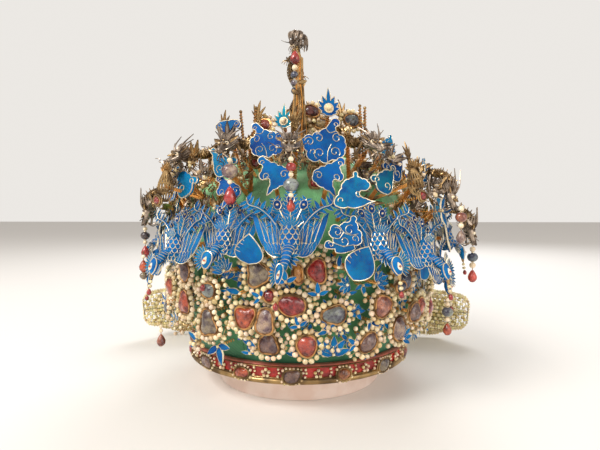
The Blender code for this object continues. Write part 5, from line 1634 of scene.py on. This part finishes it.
blade = blade_parts()
FAN_ROOT, FAN_ROOT_STEP = np.array([0.05, 0.113, 0.046]), np.array([-0.011, 0.0075, -0.005])
FAN_TIP, FAN_TIP_STEP = np.array([0.199, 0.086, 0.0335]), np.array([-0.004, 0.0085, -0.006])
FAN_SOCKET_RADIUS, FAN_SOCKET_HEIGHT = 0.0968, (RIM_BOTTOM + BAND_TOP) / 2 - 0.0008
for sign, side_name in ((-1, "left"), (1, "right")):
    for k in range(3):
        flip = sign, 1, 1
        root, tip = (FAN_ROOT + k * FAN_ROOT_STEP) * flip, (FAN_TIP + k * FAN_TIP_STEP) * flip
        along_blade = unit(tip - root)
        behind = unit((0, 1, 0) - along_blade[1] * along_blade)
        up = np.cross(behind, along_blade) if sign < 0 else np.cross(along_blade, -behind)
        spot = np.eye(4)
        spot[:3, 0], spot[:3, 1], spot[:3, 2], spot[:3, 3] = along_blade * MM, up * MM, behind * MM, root
        name = "fan_%s_%d" % (side_name, k + 1)
        piece = Piece(name + "_lace").add_all(blade, spot)
        azimuth = math.radians(180 - sign * (25 - 6 * k))
        reach = FAN_SOCKET_RADIUS
        socket = reach * math.sin(azimuth), -reach * math.cos(azimuth), FAN_SOCKET_HEIGHT
        hinge = np.stack([carried(spot, [[4, 0, 0]])[0], socket]) / MM
        piece.add(wires(hinge, 1.1, 8), GOLD, at=MILLIMETRES)
        piece.build("pearl_lace", name)

# %% [markdown]
# Five dragons hold a string of beads in their jaws: pearls, round stones and a drop on a wire. The string's
# solid says where it hangs and how long it is, but for a few that are shifted. A small ring of wire lies
# above and below every round stone. Four loose strings hang at the sides.

# %% Bead strings
DROP = turned([(-1.6, 0), (-1.45, 0.5), (-0.9, 0.92), (-0.3, 1), (0.4, 0.72), (1, 0.36), (1.35, 0)], 14)
ROUND = turned(ball_rows(9), 14)
STRINGS = {
    "beads_top": [("d", 3.9, RUBY), ("p", 2.4), ("s", 3, NAVY), ("s", 3, (0.3, 0.28, 0.3)),
        ("s", 2.8, NAVY)],
    "beads_centre": [("p", 2.1), ("s", 3.4, RUBY), ("p", 2), ("s", 5.2, (0.2, 0.23, 0.3)), ("p", 2),
        ("d", 3.3, (0.48, 0.04, 0.02))],
    "beads_left_1": [("p", 1.9), ("s", 5, (0.36, 0.26, 0.25)), ("p", 1.8),
        ("d", 4.4, (0.34, 0.014, 0.022))],
    "beads_left_3": [("p", 1.9), ("s", 3.6, (0.07, 0.05, 0.06)), ("p", 1.9),
        ("d", 3.6, (0.38, 0.02, 0.02))],
    "beads_right_3": [("p", 2.4), ("s", 4, (0.1, 0.14, 0.22)), ("p", 2.6), ("d", 3.8, (0.52, 0.05, 0.04))],
}
# How far a string hangs beside its solid and below it, in millimetres
STRING_SHIFTS = {"beads_top": (-6.5, 3.2), "beads_centre": (1.3, 1.5), "beads_left_1": (6, 6)}


def thread(piece, x, y, top, bottom, row):
    """Beads down a wire from top to bottom, in millimetres, all drawn smaller where the row is too long for
    it."""
    tall = [2 * bead[1] if bead[0] != "d" else 2.95 * bead[1] for bead in row]
    shrink = min((top - bottom + 1.5) / (sum(tall) + 0.3 * len(row)), 1)
    level = top - 2.2
    for bead, length in zip(row, tall):
        size = bead[1] * shrink
        level -= length * shrink / 2 + 0.15
        look = ["seed_pearl"] if bead[0] == "p" else ["set_stone", bead[2]]
        at = frames(x, y, level, tip=90, size=size, wide=1.14 if bead[0] == "s" else 1)
        piece.add((DROP if bead[0] == "d" else ROUND).copies(at), *look, at=MILLIMETRES)
        if bead[0] == "s":
            ring = closed_wire(hoop([(0, 1)], 10).points, 0.4, 5)
            ends = level + size * np.array([-0.94, 0.94])
            piece.add(ring.copies(frames(x, y, ends, tip=90)), WIRE, at=MILLIMETRES)
        level -= length * shrink / 2 + 0.15
    piece.add(wires([(x, y, top), (x, y, level + 1)], 0.35, 5), GOLD, at=MILLIMETRES)


for name, row in STRINGS.items():
    low, high = np.array(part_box(name)) / MM
    piece = Piece(name + "_threaded")
    aside, down = STRING_SHIFTS.get(name, (0, 0))
    thread(piece, (low[0] + high[0]) / 2 + aside, (low[1] + high[1]) / 2, high[2], low[2] - down, row)
    piece.build("pearl", name)
piece = Piece("loose_strings")
for azimuth, radius, top, length, row in (
        (50, 158, 157, 38, [("p", 2.1), ("s", 3.7, ROSE), ("p", 2.1), ("d", 3.4, LILAC)]),
        (53.4, 145, 88, 36, [("p", 1.5), ("p", 1.7), ("s", 3.7, SLATE), ("p", 1.7), ("d", 3.3, SALMON)]),
        (-47.1, 150, 121, 24, [("p", 1.5), ("d", 3.2, SALMON), ("s", 2.6, GREY_BROWN)]),
        (-48.3, 136, 66, 22, [("p", 1.5), ("p", 1.5), ("d", 3.4, ROSE)])):
    a = math.radians(azimuth)
    thread(piece, radius * math.sin(a), -radius * math.cos(a), top, top - length, row)
piece.build("pearl")

# %% [markdown]
# Little of the cap shows between the flowers. Hundreds of small leaves, pearl sprigs and blossoms fill the
# gaps, each on its own spring. They are scattered here by seeded draws over the lower wall, and a draw is
# thrown away when it would sit on a stone. The same leaf and pearl serve all of them, so each sprig costs
# few faces.

# %% Sprigs between the flowers
FLOWER_RADIUS = 0.121
SPRIG_RADIUS, SPRIG_SPACING = 0.12, 0.0062
TRIES_FOR_EACH = 30
taken = [(row[0], row[1], max(row[3], row[4]) + row[5] * 0.5) for _, rows in FLOWERS for row in rows]
taken = np.array([(math.radians(az), height, reach * MM) for az, height, reach in taken])


def free_spots(count, low, high, clear):
    """Seeded spots (azimuth in degrees, height) that keep clear of the flowers by a share of their reach, and
    of each other."""
    chosen = []
    for _ in range(count * TRIES_FOR_EACH):
        az, height = draw(-180, 180), draw(low, high)
        gap = (math.radians(az) - taken[:, 0] + pi) % (2 * pi) - pi
        if np.any(np.hypot(gap * FLOWER_RADIUS, height - taken[:, 1]) < taken[:, 2] * clear):
            continue
        around = [math.radians((az - a + 180) % 360 - 180) * SPRIG_RADIUS for a, _ in chosen]
        if any(math.hypot(x, height - h) < SPRIG_SPACING for x, (_, h) in zip(around, chosen)):
            continue
        chosen.append((az, height))
        if len(chosen) == count:
            break
    return chosen


def leaf_cluster(lobes, size):
    turns = linspace(-72, 72, lobes)
    fan = fan_of(turns, size * (1 - 0.0022 * np.abs(turns)), off=0.8)
    return [(leaf(5, 0.27, 0.09, arch=0.12).copies(fan), FEATHER, (1, 1.08, 1.1)),
        pearls(0, 0.4, 0.9, 1.3, SEED)]


def pearl_sprig(count):
    turns = linspace(-60, 60, count)
    a = radians(turns)
    x, y = -6.2 * sin(a), 6.2 * cos(a)
    stems = np.stack([xyz(0 * x, 0, -1), xyz(x * 0.6, y * 0.5, 1.2), xyz(x, y, 1.5)], 1)
    return [(wires(stems, 0.3, 4), GOLD), pearls(x, y, 1.8, 1.75)]


def blossom():
    """Five feather petals round a pearl."""
    petals = leaf(5, 0.36, 0.1, arch=0.2).copies(fan_of(arange(5) * 72, 5.6, off=0.6))
    return [(petals, FEATHER, (1, 1.1, 1.1)), pearls(0, 0, 1.4, 1.8)]


SPRIG_KINDS = [leaf_cluster(3, 7.5), leaf_cluster(5, 7), pearl_sprig(3), pearl_sprig(4), blossom()]
quarters = {"front": [], "right": [], "back": [], "left": []}
for az, height in free_spots(330, 0.052, 0.119, 0.72):
    quarters[("front", "right", "back", "left")[int(((az + 45) % 360) // 90)]].append((az, height))
for side_name, spots in quarters.items():
    piece = Piece("sprigs_" + side_name)
    for az, height in spots:
        spot = place(az, height, 0.1165 + draw(-0.002, 0.003), roll=draw(-180, 180))
        piece.add_all(SPRIG_KINDS[RANDOM.integers(len(SPRIG_KINDS))], spot)
        spring(piece, spot, (az, height), 1, 0.32, 3)
    piece.build("kingfisher_blue")

# %% [markdown]
# A few of the small ornaments stand out from the rest: a comb-like crest, a wedge of a leaf, a spray of
# five. They are placed one by one, each with its height, the turn of its tip and its size.

# %% Small leaves set one by one
piece = Piece("small_leaves")
for az, height, radius, roll, lobes, size in (
        (-0.7, 0.104, 0.134, 10, 3, 8.5), (-8.6, 0.0925, 0.129, 60, 3, 6.5),
        (-27.4, 0.052, 0.117, 200, 3, 13), (-37.9, 0.0525, 0.118, 60, 3, 10),
        (-16.8, 0.061, 0.119, -40, 1, 13), (3, 0.072, 0.124, 20, 3, 7), (8.7, 0.0945, 0.129, 5, 3, 8),
        (14.7, 0.113, 0.131, 70, 1, 9), (17.6, 0.101, 0.13, 80, 5, 7), (27.8, 0.101, 0.129, -60, 5, 9),
        (14.8, 0.05, 0.118, 0, 5, 13), (42.9, 0.055, 0.121, -50, 5, 10), (12.4, 0.068, 0.122, 30, 3, 8),
        (-19.4, 0.11, 0.133, 25, 7, 10), (-15, 0.095, 0.129, 150, 1, 11), (-14.6, 0.049, 0.115, 10, 3, 7),
        (-49.5, 0.0806, 0.131, 40, 3, 7), (1.9, 0.049, 0.114, 0, 3, 8), (50.7, 0.176, 0.131, 35, 5, 11),
        (48.3, 0.151, 0.145, -80, 3, 14)):
    spot = place(az, height, radius, roll=roll)
    piece.add_all(leaf_cluster(lobes, size), spot)
    spring(piece, spot, (az, height), 1, 0.32, 2.4)
piece.build("kingfisher_blue")

# %% [markdown]
# Nothing shows the back, but a crown like this was worn in the round, so its clouds go on behind: three
# rings of plates between the dragons, leaning in with the curve of the cap, and a row of leaf fans above
# the flowers. One more flaming pearl, small and pale, stands behind the column of the top dragon.

# %% Clouds and leaves behind
piece = Piece("clouds_behind")
for row, (height, step, scale) in enumerate(((0.146, 15, 0.95), (0.176, 18, 1), (0.2, 24, 0.9))):
    for k, azimuth in enumerate(arange(80 + 5 * row, 285, step)):
        style = ("drift", "peak", "sail", "crest", "tall")[(2 * k + row) % 5]
        hue = (AZURE, COBALT, SEA, MIDDLE)[(k + row) % 4]
        filling_cloud(piece, style, hue, azimuth, height, 0.004, 0.019, 10 + 14 * row, -scale * (-1) ** k)
piece.build("kingfisher_blue")
piece = Piece("leaf_fans_behind")
for azimuth in arange(80, 285, 11):
    spot = place(azimuth, 0.1225 + draw(-0.002, 0.002), 0.124, roll=draw(-15, 15))
    piece.add_all(leaf_cluster(7, 11), spot)
    spring(piece, spot, (azimuth, 0.122), 1, 0.32, 2.4)
piece.build("kingfisher_blue")
piece = Piece("flaming_pearl_behind")
flaming_pearl(piece, place(-4.8, 0.219, 0.085, lean=10, scale=0.9), (-4.8, 0.194), (1, 2, 1.2))
piece.build("kingfisher_blue")

# %% [markdown]
# The photograph's view is taken by a camera level with the crown's middle, close enough for strong
# perspective. Soft light comes from large panels: one high on the left, a broad weak one in front on the
# right and one behind for the outline. The floor and the surroundings are plain and pale, so the gilt has
# something calm to reflect.

# %% Camera, floor and light
finish("studio_floor", Base_Color=(0.8, 0.78, 0.75), Roughness=0.9)
span = 6
floor_mesh = bpy.data.meshes.new("studio_floor")
floor_mesh.from_pydata([(-span, -span, 0), (span, -span, 0), (span, span, 0), (-span, span, 0)], [],
    [(0, 1, 2, 3)])
floor_mesh.materials.append(FINISHES["studio_floor"])
floor = bpy.data.objects.new("studio_floor", floor_mesh)
bpy.context.scene.collection.objects.link(floor)

FOCAL_PIXELS, PICTURE_WIDTH = 440, 600
SENSOR_WIDTH = 36
CAMERA_SPOT = Vector((0.022, -0.4206, 0.1504))
YAW, PITCH = math.radians(2.86), math.radians(1.74)
camera = bpy.data.objects.new("camera", bpy.data.cameras.new("camera"))
camera.data.sensor_width = SENSOR_WIDTH
camera.data.lens = FOCAL_PIXELS / PICTURE_WIDTH * SENSOR_WIDTH
camera.location = CAMERA_SPOT
heading = Vector((-math.sin(YAW) * math.cos(PITCH), math.cos(YAW) * math.cos(PITCH), -math.sin(PITCH)))
camera.rotation_euler = heading.to_track_quat("-Z", "Y").to_euler()
bpy.context.scene.collection.objects.link(camera)
bpy.context.scene.camera = camera


def panel(name, spot, aim, size, power, colour):
    """Square area light at spot that faces aim."""
    light = bpy.data.lights.new(name, "AREA")
    light.size, light.energy, light.color = size, power, colour
    made = bpy.data.objects.new(name, light)
    made.location = spot
    made.rotation_euler = (Vector(aim) - Vector(spot)).to_track_quat("-Z", "Y").to_euler()
    bpy.context.scene.collection.objects.link(made)


panel("high_left", (-0.9, -1, 1.3), (0, 0, 0.13), 0.7, 26, (1, 0.97, 0.93))
panel("front_right", (1.1, -1.1, 0.6), (0, 0, 0.13), 1, 8, (1, 0.95, 0.9))
panel("behind", (0.3, 1.2, 1.1), (0, 0, 0.15), 0.9, 12, (0.95, 0.97, 1))
world = bpy.data.worlds.new("studio")
world.use_nodes = True
world.node_tree.nodes.clear()
room = Layout(world.node_tree)
lit = room.node("Background", {"Color": (0.95, 0.9, 0.85), "Strength": 0.64}).outputs[0]
seen = room.node("Background", {"Color": (0.93, 0.9, 0.86), "Strength": 0.9}).outputs[0]
both = room.node("MixShader", {0: room.node("LightPath").outputs["Is Camera Ray"], 1: lit,
    2: seen}).outputs[0]
room.node("OutputWorld", {"Surface": both})
bpy.context.scene.world = world
bpy.context.scene.view_settings.view_transform = "Standard"

# %% [markdown]
# Last comes the count of triangles in all the pieces. The dressed crown has to stay within a few
# millimetres of the box of its solids.

# %% Triangles in all
print("triangles in all:", sum(tally.values()))
